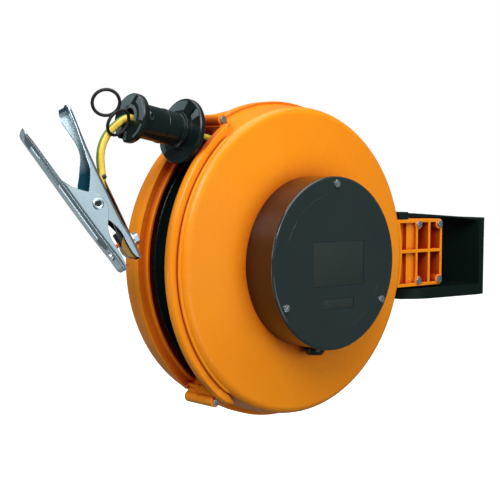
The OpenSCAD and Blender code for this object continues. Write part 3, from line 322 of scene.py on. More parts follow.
def sweep_tube(points, radius, sides, side_on, first=None, last=None):
    """Closed tube along points; u runs round it from the side that faces side_on."""
    bm = bmesh.new()
    uv = bm.loops.layers.uv.new("UVMap")
    n = len(points)
    tangents = [(points[min(i + 1, n - 1)] - points[max(i - 1, 0)]).normalized() for i in range(n)]
    tangents[0] = first.normalized() if first else tangents[0]
    tangents[-1] = last.normalized() if last else tangents[-1]
    across = side_on - side_on.dot(tangents[0]) * tangents[0]
    rings = []
    length = [0.0]
    for i, (point, tangent) in enumerate(zip(points, tangents)):
        across = (across - across.dot(tangent) * tangent).normalized()
        other = tangent.cross(across)
        if i:
            length.append(length[-1] + (point - points[i - 1]).length)
        rings.append([
            bm.verts.new(point + radius * (math.cos(2 * math.pi * k / sides) * across
                                           + math.sin(2 * math.pi * k / sides) * other))
            for k in range(sides)])
    for i in range(n - 1):
        for k in range(sides):
            face = bm.faces.new((rings[i][k], rings[i][(k + 1) % sides],
                                 rings[i + 1][(k + 1) % sides], rings[i + 1][k]))
            for loop, (u, v) in zip(face.loops, ((k, i), (k + 1, i), (k + 1, i + 1), (k, i + 1))):
                loop[uv].uv = (u / sides, length[v])
    bm.faces.new(list(reversed(rings[0])))
    bm.faces.new(rings[-1])
    return bm


# ---------------------------------------------------------------- cable
CABLE_D = 8 * MM
CABLE_R = CABLE_D / 2
# The middle of the drum's outer layer of cable, and the distance between two turns or layers
WIND_R = 110 * MM
WIND_PITCH = 8.5 * MM
# The mouth's middle, toward the cap from the drum's middle
MOUTH_OFFSET = 11 * MM
CABLE_RISE = math.asin(PULL.z)
# Turns in the layer below and in the outer layer
LOWER_TURNS = 4
UPPER_TURNS = 2
ALL_TURNS = LOWER_TURNS + UPPER_TURNS
# Straight piece at each end of the winding
WIND_LEAD = CABLE_D

# Where the cable leaves the drum
TANGENT_POINT = REEL + Vector((WIND_R * math.sin(CABLE_RISE), -MOUTH_OFFSET, WIND_R * math.cos(CABLE_RISE)))

# Route of the free cord from the stop to the clamp's lug: from the reel's middle, then in the clamp's frame
CORD = [REEL + MM * Vector(p) for p in (
    (-195, -11, 145.3), (-202, -11, 145.9), (-208.5, -11, 144), (-214.5, -11, 140.3),
    (-220.5, -11, 135.8), (-226.5, -11, 130), (-231.5, -11, 122.5), (-234.5, -11, 114),
    (-234.8, -10.4, 104.3))] + [CLAMP @ (MM * Vector(p)) for p in (
    (-26.9, -2, 21.9), (-18.3, -0.4, 17.4), (-10.2, 0.1, 13.8), (-2, 0.1, 11.6), (7, 0, 10.6), (15, 0, 10.1),
    (21.1, 0, 9.9))]
# Direction of the cord as it enters the clamp's lug
CORD_END = Vector((0.296, -0.313, -0.903))


def make_cord():
    """The short free cord that hangs from the stop to the clamp."""
    route = smooth_route(CORD, 4)
    bm = sweep_tube(route, CABLE_R, 24, Vector((0.2, -1, 0)), PULL, CORD_END)
    cord = new_piece("earthing_cord", bm, "cable_end", "cable_sheath")
    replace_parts(cord, "free_cord")
    return cord, route


def make_cable_run():
    """The straight run from the drum through the mouth into the stop."""
    start = TANGENT_POINT + WIND_LEAD * PULL
    steps = 60
    route = [start.lerp(CORD[0], i / steps) for i in range(steps + 1)]
    bm = sweep_tube(route, CABLE_R, 24, Vector((0.2, -1, 0)), PULL, PULL)
    run = new_piece("cable_to_stop", bm, None, "cable_sheath")
    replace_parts(run, "cable_run")
    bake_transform(run)


def wind_point(turn):
    """Centre of the wound cable after a number of turns: out along the lower layer, back along the upper."""
    climb = min(1, max(0, (turn - LOWER_TURNS) * 2 + 0.5))
    radius = WIND_R - WIND_PITCH * (1 - climb)
    angle = math.pi / 2 - CABLE_RISE + 2 * math.pi * (turn - ALL_TURNS)
    toward_cap = MOUTH_OFFSET + WIND_PITCH * (abs(turn - LOWER_TURNS) - UPPER_TURNS)
    return REEL + Vector((radius * math.cos(angle), -toward_cap, radius * math.sin(angle)))


def make_winding():
    """The outer turns of cable on the drum."""
    per_turn = 72
    steps = ALL_TURNS * per_turn
    route = [wind_point(i / per_turn) for i in range(steps + 1)]
    ahead = (route[1] - route[0]).normalized()
    route = [route[0] - WIND_LEAD * ahead, *route, route[-1] + WIND_LEAD * PULL]
    bm = sweep_tube(route, CABLE_R, 16, Vector((0, -1, 0)), ahead, PULL)
    winding = new_piece("wound_cable", bm, "drum", "cable_sheath")
    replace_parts(winding, "cable_winding")


def make_core():
    """The lower layers of cable, seen as rows of turns side by side on the drum."""
    rows, low_s, high_s, inner, outer = 5, -9.7, 31.7, 62, 96.2
    row_r = (high_s - low_s) / rows / 2
    arc = 8
    profile = []
    for row in range(rows):
        middle = low_s + row_r * (2 * row + 1)
        for k in range(arc + (row == rows - 1)):
            angle = math.pi * k / arc
            profile.append((outer - row_r + row_r * math.sin(angle), middle - row_r * math.cos(angle),
                            0.25 + 0.5 * k / arc))
    profile += [(inner, high_s, 0.5), (inner, low_s, 0.5)]
    bm = bmesh.new()
    uv = bm.loops.layers.uv.new("UVMap")
    sides = 96
    rings = [[bm.verts.new(REEL + MM * Vector((r * math.cos(2 * math.pi * k / sides), -a,
                                               r * math.sin(2 * math.pi * k / sides))))
              for r, a, _ in profile] for k in range(sides)]
    for k in range(sides):
        here, ahead = rings[k], rings[(k + 1) % sides]
        for i in range(len(profile)):
            j = (i + 1) % len(profile)
            face = bm.faces.new((here[i], here[j], ahead[j], ahead[i]))
            for loop, at in zip(face.loops, (i, j, j, i)):
                loop[uv].uv = (profile[at][2], k / sides)
    bmesh.ops.recalc_face_normals(bm, faces=bm.faces)
    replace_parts(new_piece("inner_turns", bm, "drum", "cable_sheath"), "winding_core")


FREE_CORD, CORD_ROUTE = make_cord()
make_cable_run()
make_winding()
make_core()


# ---------------------------------------------------------------- clamp levers
# Millimetres in the clamp's frame: the sheet, the levers' half widths and the radius of their bends
SHEET = 1.5
UPPER_HALF = 11.7
LOWER_HALF = 13.5
BEND = 3.0
# Where the levers end, and where their handles begin to narrow
HANDLE_END = -97
HANDLE_NARROWS = -90
UPPER_NOSE = 64
LOWER_NOSE = 67
PIVOT_HOLE_R = 4.0
# The bolt through the upper lever's nose
BOLT_X = 45.7
# The least height of a side plate, and the bevel of its free edge
LEAST_SIDE = 0.9
EDGE_BEVEL = 0.35
# Corners of a channel's outline between which it faces inward; these inner faces take the material with painted shade
INNER_FROM, INNER_TO = 21, 39


def curve_at(points, steps=6):
    """A function that follows a smooth curve through (x, value) points."""
    route = smooth_route([Vector((x, y, 0)) for x, y in points], steps)

    def value(x):
        for a, b in zip(route, route[1:]):
            if a.x <= x <= b.x:
                return a.y + (b.y - a.y) * (x - a.x) / max(b.x - a.x, 1e-6)
        return route[0].y if x < route[0].x else route[-1].y
    return value


def channel_section(half, near, far, slant, rib):
    """Outline of a bent U of sheet: the middle of its back at height 0, its sides hanging down."""
    outer, inner = [], []
    for side, depth in ((-1, near), (1, far)):
        depth = max(depth, LEAST_SIDE)
        top = slant * side / 2
        low = top - depth
        turn = min(BEND, half * 0.45, depth * 0.8)
        skin = min(SHEET, turn * 0.75)
        edge_out = [(side * half, low + EDGE_BEVEL), (side * (half - EDGE_BEVEL), low)]
        edge_in = [(side * (half - SHEET), low + EDGE_BEVEL), (side * (half - SHEET + EDGE_BEVEL), low)]
        arc = [k * math.pi / 10 for k in range(6)]
        middle = (side * (half - turn), top - turn)
        round_out = [(middle[0] + side * turn * math.cos(a), middle[1] + turn * math.sin(a)) for a in arc]
        slim = turn - skin
        round_in = [(middle[0] + side * slim * math.cos(a), middle[1] + slim * math.sin(a)) for a in arc]
        outer.append([*reversed(edge_out), *round_out])
        inner.append([*reversed(edge_in), *round_in])
    marks = (-0.56, -0.4, 0.4, 0.56)
    lift = (0, rib, rib, 0)
    span = half - BEND
    web_out = [(m * span, slant * m * span / (2 * half) + r) for m, r in zip(marks, lift)]
    web_in = [(m * span, slant * m * span / (2 * half) + r - SHEET) for m, r in zip(marks, lift)]
    return [*outer[0], *web_out, *reversed(outer[1]), *inner[1], *reversed(web_in), *reversed(inner[0])]


def lever(name, body, down, back, near_edge, far_edge, half, slant, rib, stations, tips):
    """A pressed lever along x, from its back line and the free edges of its two side plates.

    down is 1 where the side plates hang toward -z and -1 where they rise; tips gives the share of the half width
    that is left at a place and how far the back dips there.
    """
    bm = bmesh.new()
    rings = []
    for x in stations:
        narrow, dip = tips(x)
        middle = back(x) - down * dip
        near = down * (middle - near_edge(x)) - slant(x) / 2
        far = down * (middle - far_edge(x)) + slant(x) / 2
        ring = []
        for y, z in channel_section(half * narrow, near, far, slant(x), rib(x)):
            ring.append(bm.verts.new(CLAMP @ (MM * Vector((x, y, middle + down * z)))))
        rings.append(ring)
    count = len(rings[0])
    for a, b in zip(rings, rings[1:]):
        for k in range(count):
            face = bm.faces.new((a[k], a[(k + 1) % count], b[(k + 1) % count], b[k]))
            # Inner faces take the second material, whose colour paints shade toward the pivot
            face.material_index = 1 if INNER_FROM <= k < INNER_TO else 0
    bm.faces.new(rings[0])
    bm.faces.new(list(reversed(rings[-1])))
    bmesh.ops.recalc_face_normals(bm, faces=bm.faces)
    piece = new_piece(name, bm, body, "zinc_steel")
    piece.data.materials.append(MATERIALS["zinc_inside_painted_shade"])
    return piece


def drill(piece, places):
    """Cuts round holes: each a centre, an axis (both in the clamp's frame), a radius and a half length."""
    bm = bmesh.new()
    for centre, axis, radius, reach in places:
        turn = Vector((0, 0, 1)).rotation_difference(Vector(axis)).to_matrix().to_4x4()
        bmesh.ops.create_cone(bm, cap_ends=True, segments=40, radius1=radius * MM, radius2=radius * MM,
                              depth=2 * reach * MM,
                              matrix=CLAMP @ Matrix.Translation(MM * Vector(centre)) @ turn)
    cut_with(piece, bm)


def cut_with(piece, bm):
    """Subtracts a closed bmesh from a piece for good."""
    mesh = bpy.data.meshes.new("cutter")
    bm.to_mesh(mesh)
    bm.free()
    cutter = bpy.data.objects.new("cutter", mesh)
    bpy.context.scene.collection.objects.link(cutter)
    cut = piece.modifiers.new("holes", "BOOLEAN")
    cut.operation = "DIFFERENCE"
    cut.solver = "EXACT"
    cut.object = cutter
    graph = bpy.context.evaluated_depsgraph_get()
    done = bpy.data.meshes.new_from_object(piece.evaluated_get(graph))
    piece.modifiers.remove(cut)
    old = piece.data
    piece.data = done
    bpy.data.meshes.remove(old)
    bpy.data.objects.remove(cutter)
    bpy.data.meshes.remove(mesh)
    piece.data.shade_smooth()
    piece.data.set_sharp_from_angle(angle=CREASE)


def stations_between(start, stop, step):
    """Places along a lever, closer together at its two ends."""
    count = round((stop - start) / step)
    middle = [start + (stop - start) * k / count for k in range(count + 1)]
    ends = [start + d for d in (0.3, 0.8, 1.6, 2.6)] + [stop - d for d in (0.3, 0.8, 1.6, 2.6)]
    return sorted(set(round(x, 3) for x in (*middle, *ends)))


def make_levers():
    """The clamp's two levers, as pressed U sections with their holes and the upper one's window."""
    upper_back = curve_at([(-97, 27.9), (-82, 26.2), (-61, 22.8), (-41, 20.2), (-20, 17.7), (22, 13.6),
                           (34, 13.0), (45, 12.8), (64, 11.0)])
    upper_near = curve_at([(-97, 24.4), (-88, 23.4), (-75, 21.4), (-60, 18.2), (-50, 16.0), (-43.6, 14.2), (-37.6, 13),
                           (-32, 11), (-24, 6), (-15, -0.8), (-8, -6.5), (0, -9), (8, -6.5), (14, -2), (20, 1.8),
                           (27, 4), (35, 5.2), (48, 4.4), (57, 4.4), (62, 6.2), (64, 8.6)])
    upper_far = curve_at([(-97, 18.4), (-92, 16.7), (-86, 15.6), (-73.5, 16.2), (-63, 16.6), (-54, 15.3),
                          (-46.8, 12.4), (-39, 6.8), (-31, 0.9), (-25, -3.9), (-15, -7.6), (0, -9), (8, -6.5),
                          (14, -2), (20, 1.8), (27, 4), (35, 5.2), (48, 4.4), (57, 4.4), (62, 6.2), (64, 8.6)])

    def upper_tips(x):
        handle = max(0, (HANDLE_NARROWS - x) / 7)
        nose = max(0, (x - 59.5) / 4.5)
        return 1 - 0.42 * handle ** 2.2, 3.0 * handle ** 2.4 + 1.6 * nose ** 2.4

    upper = lever("upper_lever", "cable_end", 1, upper_back, upper_near, upper_far, UPPER_HALF,
                  curve_at([(-97, 1.2), (-60, 2.6), (20, 2.6), (36, 1.4), (64, 1.4)]), curve_at([(-97, 0), (64, 0)]),
                  stations_between(HANDLE_END, UPPER_NOSE, 2.0), upper_tips)
    drill(upper, [((0, 0, 0), (0, 1, 0), PIVOT_HOLE_R, 20), ((-81, 0, 26), (0, 0, 1), 2.4, 6),
                  ((BOLT_X, 0, 12.5), (0, 0, 1), 4.0, 6)])
    window = bmesh.new()
    bmesh.ops.create_cube(window, size=1, matrix=CLAMP @ Matrix.Translation(MM * Vector((-9.5, 0, 18)))
                          @ Matrix.Diagonal((67 * MM, 16 * MM, 16 * MM, 1)))
    bmesh.ops.bevel(window, geom=window.edges, offset=3 * MM, segments=4, affect="EDGES")
    cut_with(upper, window)
    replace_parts(upper, "clamp_upper_lever")

    lower_back = curve_at([(-97, -26.0), (-60, -23.0), (-12, -19.4), (25, -16.2), (50, -13.4), (67, -12.4)])
    lower_near = curve_at([(-97, -23.2), (-91.6, -22.8), (-76.4, -21.0), (-54, -19.2), (-36, -17.6), (-30, -15.2),
                           (-23.9, -10.6), (-16.1, -3.4), (-10.6, 3.0), (-2.9, 7.2), (6.7, 6.8), (16.5, 1.2),
                           (25.2, -4.4), (35.8, -6.6), (48, -6.4), (60, -7.2), (67, -9.6)])
    lower_far = curve_at([(-97, -21), (-76.4, -19), (-54, -16.6), (-40, -13.6), (-31, -9.6),
                          (-23.9, -6.0), (-16.1, -0.6), (-10.6, 4.4), (-2.9, 7.6), (6.7, 6.8), (16.5, 1.2),
                          (25.2, -4.4), (35.8, -6.6), (48, -6.4), (60, -7.2), (67, -9.6)])

    def lower_tips(x):
        handle = max(0, (HANDLE_NARROWS - x) / 7)
        nose = max(0, (x - 62) / 5)
        return 1 - 0.45 * handle ** 2.2, 2.4 * handle ** 2.4 + 2.0 * nose ** 2.2

    lower = lever("lower_lever", "jaw", -1, lower_back, lower_near, lower_far, LOWER_HALF,
                  curve_at([(-97, 0.6), (-80, 3), (50, 3), (67, 2.2)]),
                  curve_at([(-97, 0), (-88, 0), (-80, 1.3), (30, 1.3), (38, 0), (67, 0)]),
                  stations_between(HANDLE_END, LOWER_NOSE, 2.0), lower_tips)
    drill(lower, [((0, 0, 0), (0, 1, 0), PIVOT_HOLE_R, 20), ((48.8, 0, -14), (0, 0, 1), 2.5, 6)])
    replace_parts(lower, "clamp_lower_lever")


make_levers()


# ---------------------------------------------------------------- details of the clamp
def box_piece(name, frame_of, low_corner, high_corner, body, slot, round_edge):
    """A block with rolled edges between two corners in a frame, in millimetres."""
    middle = (Vector(low_corner) + Vector(high_corner)) / 2
    span = Vector(high_corner) - Vector(low_corner)
    bm = bmesh.new()
    bmesh.ops.create_cube(bm, size=1, matrix=Matrix.Translation(middle) @ Matrix.Diagonal((*span, 1)))
    bmesh.ops.bevel(bm, geom=bm.edges, offset=round_edge, segments=3, affect="EDGES", profile=0.5)
    bm.transform(frame_of @ Matrix.Scale(MM, 4))
    return new_piece(name, bm, body, slot)


def at_back(x, z):
    """A frame on the upper lever's back, tilted with it."""
    return CLAMP @ Matrix.Translation(MM * Vector((x, 0, z))) @ Matrix.Rotation(math.radians(6.4), 4, "Y")


def ring_piece(name, frame_of, inner, outer, low, high, body, slot, roll=0.3):
    """A washer-like ring with rolled edges about a frame's z, in millimetres."""
    profile = [(inner, low), (outer - roll, low), (outer, low + roll), (outer, high - roll),
               (outer - roll, high), (inner + roll, high), (inner, high - roll)]
    return lathe_piece(name, frame_of, profile, body, slot)


def lathe_piece(name, frame_of, profile, body, slot):
    """A closed profile of (radius, height) turned about a frame's z, in millimetres."""
    sides = 48
    bm = bmesh.new()
    rings = [[bm.verts.new((r * math.cos(2 * math.pi * k / sides), r * math.sin(2 * math.pi * k / sides), z))
              for r, z in profile] for k in range(sides)]
    for k in range(sides):
        a, b = rings[k], rings[(k + 1) % sides]
        for i in range(len(profile)):
            j = (i + 1) % len(profile)
            bm.faces.new((a[i], b[i], b[j], a[j]))
    bm.transform(frame_of @ Matrix.Scale(MM, 4))
    bmesh.ops.recalc_face_normals(bm, faces=bm.faces)
    return new_piece(name, bm, body, slot)


def make_clamp_details():
    """The strip on the upper lever's back and its fold, the bolt's washer, the jaw's lining and the pivot."""
    strip = box_piece("back_strip", at_back(11, 15.0), (-27, -6.5, 0.2), (29, 9.5, 1.3), "cable_end", "copper", 0.3)
    strip.data.materials[0] = MATERIALS["old_copper"]
    box_piece("strip_fold", at_back(-19, 19.0), (-3, -6.5, -0.6), (1, 7.5, 3.4), "cable_end", "dark_steel", 0.8)
    ring_piece("bolt_washer", at_back(BOLT_X, 13.4), 4.1, 7.6, -1.2, 0.3, "cable_end", "screw_steel")
    box_piece("jaw_liner", CLAMP, (32, -7, -0.8), (46, 7, 5.5), "cable_end", "rubber", 1.2)
    box_piece("jaw_tongue", CLAMP, (41.0, -7, -10.6), (45.0, 7, -1.8), "jaw", "copper", 0.4)
    # Half the rivet's length, its bore's radius, and half the length of the dark core in the bore behind its rim:
    # painted shade for the inside of the hollow rivet
    tube = LOWER_HALF + 1.2
    bore = 2.7
    bore_shade_half = LOWER_HALF + 0.3
    across = CLAMP @ Matrix.Rotation(math.radians(90), 4, "X")
    profile = [(bore, -tube), (3.3, -tube - 0.5), (4.4, -tube - 0.6), (5.2, -tube - 0.2), (5.4, -tube + 0.5),
               (5.2, -tube + 1.0), (3.8, -tube + 1.05), (3.8, tube - 1.05), (5.2, tube - 1.0), (5.4, tube - 0.5),
               (5.2, tube + 0.2), (4.4, tube + 0.6), (3.3, tube + 0.5), (bore, tube)]
    rivet = lathe_piece("pivot_rivet", across, profile, "cable_end", "screw_steel")
    rivet.data.materials[0] = MATERIALS["zinc_steel"]
    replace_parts(rivet, "clamp_pivot")
    # Painted shade: a dark core fills the rivet's bore where the hollow would be in shade
    ring_piece("pivot_bore_shade", across, 0.2, bore - 0.02, -bore_shade_half, bore_shade_half, "cable_end", "rubber")


make_clamp_details()


# ---------------------------------------------------------------- cable stop details
# The stop's frame: z out along the cable, x up
STOP = (Matrix.Translation(TANGENT_POINT) @ Matrix.Rotation(CABLE_RISE - math.pi / 2, 4, "Y")
        @ Matrix.Translation((0, 0, 152.8 * MM)))
# Heights of its front face and of its rear flange's face, in millimetres
STOP_FRONT = 71
STOP_FLANGE = 7


def pad(name, outline, face, height):
    """A low raised pad with rolled edges on a face of the stop, from its outline in millimetres."""
    bm = bmesh.new()
    lower = [bm.verts.new((x, y, face - 0.3)) for x, y in outline]
    base = bm.faces.new(lower)
    grown = bmesh.ops.extrude_face_region(bm, geom=[base])
    top = [v for v in grown["geom"] if isinstance(v, bmesh.types.BMVert)]
    bmesh.ops.translate(bm, verts=top, vec=(0, 0, height + 0.3))
    bmesh.ops.recalc_face_normals(bm, faces=bm.faces)
    rim = [e for e in bm.edges if all(v in top for v in e.verts)]
    bmesh.ops.bevel(bm, geom=rim, offset=min(0.4, height * 0.6), segments=2, affect="EDGES")
    bm.transform(STOP @ Matrix.Scale(MM, 4))
    return new_piece(name, bm, "cable_end", "black_plastic")


def sector(inner, outer, start, stop):
    """Outline of a part of a ring between two angles in degrees."""
    count = max(3, round(abs(stop - start) / 6))
    angles = [math.radians(start + (stop - start) * k / count) for k in range(count + 1)]
    return ([(outer * math.cos(a), outer * math.sin(a)) for a in angles]
            + [(inner * math.cos(a), inner * math.sin(a)) for a in reversed(angles)])


def make_stop_details():
    """Raised pads on the stop's two faces, a lug on the rear one and a collar on its neck."""
    front = {
        "stop_pad_a": [(16.7, 16), (23.0, 3), (22.4, -8.6), (9.8, 2.0), (6.4, 14.2), (8.0, 20.6)],
        "stop_pad_b": sector(17.2, 23.3, -30, -100),
        "stop_pad_c": sector(9.4, 13, -112, 60),
        "stop_pad_d": sector(13.5, 22.8, 118, 143),
        "stop_pad_e": sector(21.6, 23.6, -108, -150),
        "stop_pad_f": sector(13.5, 22.8, 169, 181),
    }
    for name, outline in front.items():
        pad(name, outline, STOP_FRONT, 0.9).data.materials[0] = MATERIALS["matt_grey"]
    rear = {
        "flange_pad_a": sector(21, 31, -14, 62),
        "flange_pad_b": sector(21, 31.5, -62, -46),
        "flange_pad_c": sector(25, 32, 118, 142),
    }
    for name, outline in rear.items():
        pad(name, outline, STOP_FLANGE, 0.8).data.materials[0] = MATERIALS["matt_grey"]
    along, across = math.cos(math.radians(-30)), math.sin(math.radians(-30))
    lug = [(x * along - y * across, x * across + y * along)
           for x, y in ((19.6, -6.2), (28, -6.2), (28, 6.2), (19.6, 6.2))]
    pad("flange_lug", lug, STOP_FLANGE, 2.2)
    ring_piece("neck_collar", STOP, 16.9, 17.6, 30, 33, "cable_end", "black_plastic", roll=0.3)


make_stop_details()


# ---------------------------------------------------------------- cap
# Millimetres: the cap's front face along the axle, and the middle of its panels toward the wall
CAP_FRONT = 99
PANEL_X = 4.5


def make_cap_details():
    """Bare panels in the cap's two recesses and the faint step of its middle."""
    # The cap's frame: x toward the wall, y up, z out along the axle
    cap = Matrix.Translation(REEL) @ Matrix.Rotation(math.radians(90), 4, "X")
    for name, half_w, low, high in (("cap_panel", 37.9, -22.9, 22.9), ("cap_strip", 22.7, -47.0, -37.0)):
        panel = box_piece(name, cap, (PANEL_X - half_w, low, CAP_FRONT - 1), (PANEL_X + half_w, high, CAP_FRONT - 0.15),
                          "reel", "cap_plastic", 0.25)
        panel.data.materials[0] = MATERIALS["panel_plastic"]
    ring_piece("cap_step", cap, 70.6, 73.4, CAP_FRONT - 0.6, CAP_FRONT + 0.05, "reel", "cap_plastic", roll=0.1)


make_cap_details()


# ---------------------------------------------------------------- lips of the mouth
# Angles about the drum's axis, in degrees, between which the mouth is open
MOUTH_TOP = 127
MOUTH_LOW = 233.5


def sweep_profile(name, profile, start, stop, body, slot, taper=5.0):
    """A closed profile of (radius, place along the axle) swept about the drum's axis, slimmer at its ends."""
    count = round((stop - start) / 2)
    heart = Vector((sum(r for r, _ in profile), sum(a for _, a in profile))) / len(profile)
    bm = bmesh.new()
    rings = []
    for k in range(count + 1):
        angle = start + (stop - start) * k / count
        full = min(1, (angle - start) / taper + 0.05, (stop - angle) / taper + 0.05)
        full = math.sin(full * math.pi / 2)
        turn = math.radians(angle)
        ring = []
        for r, a in profile:
            r2 = heart.x + (r - heart.x) * full - 3 * (1 - full)
            a2 = heart.y + (a - heart.y) * full
            ring.append(bm.verts.new(REEL + MM * Vector((r2 * math.cos(turn), -a2, r2 * math.sin(turn)))))
        rings.append(ring)
    size = len(profile)
    for a, b in zip(rings, rings[1:]):
        for k in range(size):
            bm.faces.new((a[k], a[(k + 1) % size], b[(k + 1) % size], b[k]))
    bm.faces.new(rings[0])
    bm.faces.new(list(reversed(rings[-1])))
    bmesh.ops.recalc_face_normals(bm, faces=bm.faces)
    return new_piece(name, bm, body, slot)


def half_round(radius, along, width, height):
    """Profile of a low round rib on a surface of constant radius."""
    top = [(radius + height * math.sin(math.pi * k / 8), along - width / 2 * math.cos(math.pi * k / 8))
           for k in range(9)]
    return [*top, (radius - 1.5, along + width / 2), (radius - 1.5, along - width / 2)]


def make_lips():
    """A rounded lip along the mouth's near edge, its low end beyond the mouth, and a low rib beside it."""
    near_lip = [(166, 31.4), (171.6, 31.2), (173.6, 31.8), (175.0, 33.4), (175.5, 35.6), (175.2, 37.8),
                (174.6, 40.2), (173.2, 41.5), (171.4, 41.7), (166, 41.5)]
    sweep_profile("near_lip", near_lip, MOUTH_TOP + 2, MOUTH_LOW - 1, "reel", "orange_plastic", 14)
    sweep_profile("near_lip_end", near_lip, MOUTH_LOW - 9, MOUTH_LOW + 6, "reel", "orange_plastic", 7)
    sweep_profile("near_rib", half_round(165.0, 43.6, 4.0, 1.6), MOUTH_TOP - 1, MOUTH_LOW + 2, "reel",
                  "orange_plastic")


make_lips()


# ---------------------------------------------------------------- carried-over nodes
# Width of the rolled edges of the moulded and pressed pieces, in millimetres
EDGES = {"near_shell": 0.6, "far_shell": 0.6, "wall_bracket": 0.7, "arm_stop_block": 0.8,
         "stop_half_near": 0.4, "stop_half_far": 0.4, "supply_gland": 0.3, "gland_nut": 0.3,
         "shell_screws": 0.15, "cap_screws": 0.15, "arm_screws": 0.15, "stop_screws": 0.15, "swivel_pin": 0.3,
         "contact_bolt": 0.5, "contact_nut": 0.2, "contact_rivet": 0.15,
         "brass_contact": 0.2, "lower_contact": 0.1, "cable_lug": 0.2}
# Edges this sharp are rolled, but not the short ones and not those of tiny faces (square metres)
SHARP_FROM = math.radians(40)
SHORT_EDGE = 0.3 * MM
TINY_FACE = 2e-9
# Vertices this close are one
SAME_PLACE = 0.02 * MM
# Edges of a node sharper than this stay sharp in the shading
NODE_CREASE = math.radians(32)
# Nodes whose look differs a little from their slot's
OWN_LOOK = {"wall_bracket": "bracket_plastic"}


def roll_edges(node, piece):
    """Rounds a node's sharp edges, leaving out the very short ones."""
    def ends(edge):
        return tuple(sorted(tuple(round(c * 1e5) for c in v.co) for v in edge.verts))

    whole = bmesh.new()
    whole.from_mesh(piece.data)
    bmesh.ops.remove_doubles(whole, verts=whole.verts, dist=SAME_PLACE)
    sharp = set()
    for edge in whole.edges:
        if len(edge.link_faces) != 2 or edge.calc_face_angle() < SHARP_FROM:
            continue
        if edge.calc_length() < SHORT_EDGE or min(f.calc_area() for f in edge.link_faces) < TINY_FACE:
            continue
        sharp.add(ends(edge))
    whole.free()
    split = bmesh.new()
    split.from_mesh(piece.data)
    weights = [float(ends(edge) in sharp) for edge in split.edges]
    split.free()
    mark = piece.data.attributes.new("bevel_weight_edge", "FLOAT", "EDGE")
    mark.data.foreach_set("value", weights)
    weld = piece.modifiers.new("weld", "WELD")
    weld.merge_threshold = SAME_PLACE
    bevel = piece.modifiers.new("rolled_edges", "BEVEL")
    bevel.width = EDGES[node] * MM
    bevel.segments = 3
    bevel.limit_method = "WEIGHT"
    bevel.use_clamp_overlap = False


def dress(node):
    """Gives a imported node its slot's material and smooth shading with clean, slightly rolled edges."""
    piece = NODES[node]
    piece.data.materials.clear()
    piece.data.materials.append(MATERIALS[OWN_LOOK.get(node, SLOT_OF[node])])
    piece.data.shade_smooth()
    piece.data.set_sharp_from_angle(angle=NODE_CREASE)
    if node in EDGES:
        roll_edges(node, piece)
    weighted = piece.modifiers.new("clean_normals", "WEIGHTED_NORMAL")
    weighted.keep_sharp = True
    weighted.weight = 100


for node in NODES:
    dress(node)


# ---------------------------------------------------------------- floor and light
FLOOR_R = 9.0
# How far the floor lies below the hanging reel
FLOOR_DROP = 0.25


def make_floor():
    """A wide white floor that melts into the white behind the object, neither lights it nor shows in it."""
    bm = bmesh.new()
    bmesh.ops.create_circle(bm, cap_ends=True, segments=96, radius=FLOOR_R)
    mesh = bpy.data.meshes.new("floor")
    bm.to_mesh(mesh)
    bm.free()
    floor = bpy.data.objects.new("floor", mesh)
    floor.location = (REEL.x, 0, CAD_LOW.z - FLOOR_DROP)
    made, tree, shader, coords = nodes_of("pale_floor")
    tree.links.new(mixed(tree, noise(tree, coords, 2.0), (0.9, 0.9, 0.9), (0.88, 0.88, 0.88)),
                   shader.inputs["Base Color"])
    shader.inputs["Roughness"].default_value = 0.7
    shader.inputs["Emission Color"].default_value = (1, 1, 1, 1)
    shader.inputs["Emission Strength"].default_value = 1.0
    made.cycles.emission_sampling = "NONE"
    mesh.materials.append(made)
    floor.visible_glossy = False
    floor.visible_diffuse = False
    bpy.context.scene.collection.objects.link(floor)


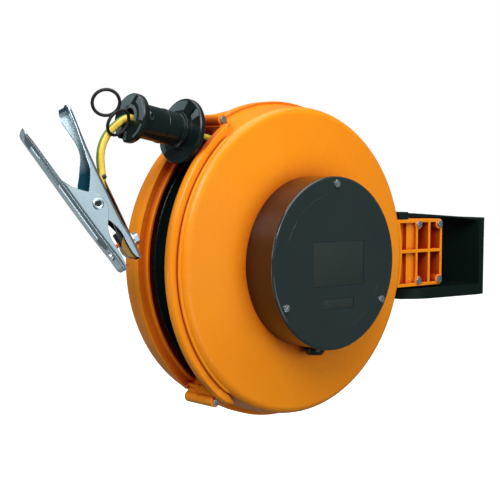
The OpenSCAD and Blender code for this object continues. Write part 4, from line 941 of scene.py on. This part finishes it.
def soft_light(name, place, target, size, power, colour=(1, 1, 1), mirrored=True):
    """A square or oblong studio light that faces a target; it may be left out of reflections."""
    data = bpy.data.lights.new(name, "AREA")
    data.shape = "RECTANGLE"
    data.size, data.size_y = size
    data.energy = power
    data.color = colour
    lamp = bpy.data.objects.new(name, data)
    lamp.location = place
    lamp.visible_glossy = mirrored
    lamp.rotation_mode = "QUATERNION"
    lamp.rotation_quaternion = (Vector(target) - Vector(place)).to_track_quat("-Z", "Y")
    bpy.context.scene.collection.objects.link(lamp)


def make_world():
    """White behind the object, dim where the surroundings light it."""
    world = bpy.data.worlds.new("studio")
    world.use_nodes = True
    bpy.context.scene.world = world
    tree = world.node_tree
    seen = tree.nodes["Background"]
    seen.inputs["Color"].default_value = (1, 1, 1, 1)
    seen.inputs["Strength"].default_value = 1.0
    lit = tree.nodes.new("ShaderNodeBackground")
    lit.inputs["Color"].default_value = (0.86, 0.95, 1.0, 1)
    lit.inputs["Strength"].default_value = 0.16
    path = tree.nodes.new("ShaderNodeLightPath")
    choice = tree.nodes.new("ShaderNodeMixShader")
    tree.links.new(path.outputs["Is Camera Ray"], choice.inputs["Fac"])
    tree.links.new(lit.outputs["Background"], choice.inputs[1])
    tree.links.new(seen.outputs["Background"], choice.inputs[2])
    tree.links.new(choice.outputs["Shader"], tree.nodes["World Output"].inputs["Surface"])
    bpy.context.scene.view_settings.view_transform = "Standard"


make_floor()
make_world()
soft_light("key", (-1.9, -1.5, 1.7), REEL, (1.2, 1.2), 42)
soft_light("fill", (-0.1, -2.4, 0.1), REEL, (1.8, 1.2), 15, mirrored=False)
soft_light("overhead", (-0.4, -0.2, 1.9), REEL, (2.2, 2.2), 42)
soft_light("left_strip", (-2.3, 0.4, 0.3), REEL, (0.16, 1.8), 8)
soft_light("clamp_panel", (-1.2, -2.0, 0.75), CLAMP.translation, (1.3, 1.3), 3.4, (0.95, 0.98, 1.0))
soft_light("clamp_rim", (-0.1, 1.6, -0.3), CLAMP.translation, (1.0, 1.0), 1.1)
soft_light("low_left", (-1.7, 0.6, -0.6), CLAMP.translation, (0.25, 0.9), 1.8)
soft_light("low_front", (-0.6, -2.2, -0.9), REEL, (1.6, 1.0), 8)
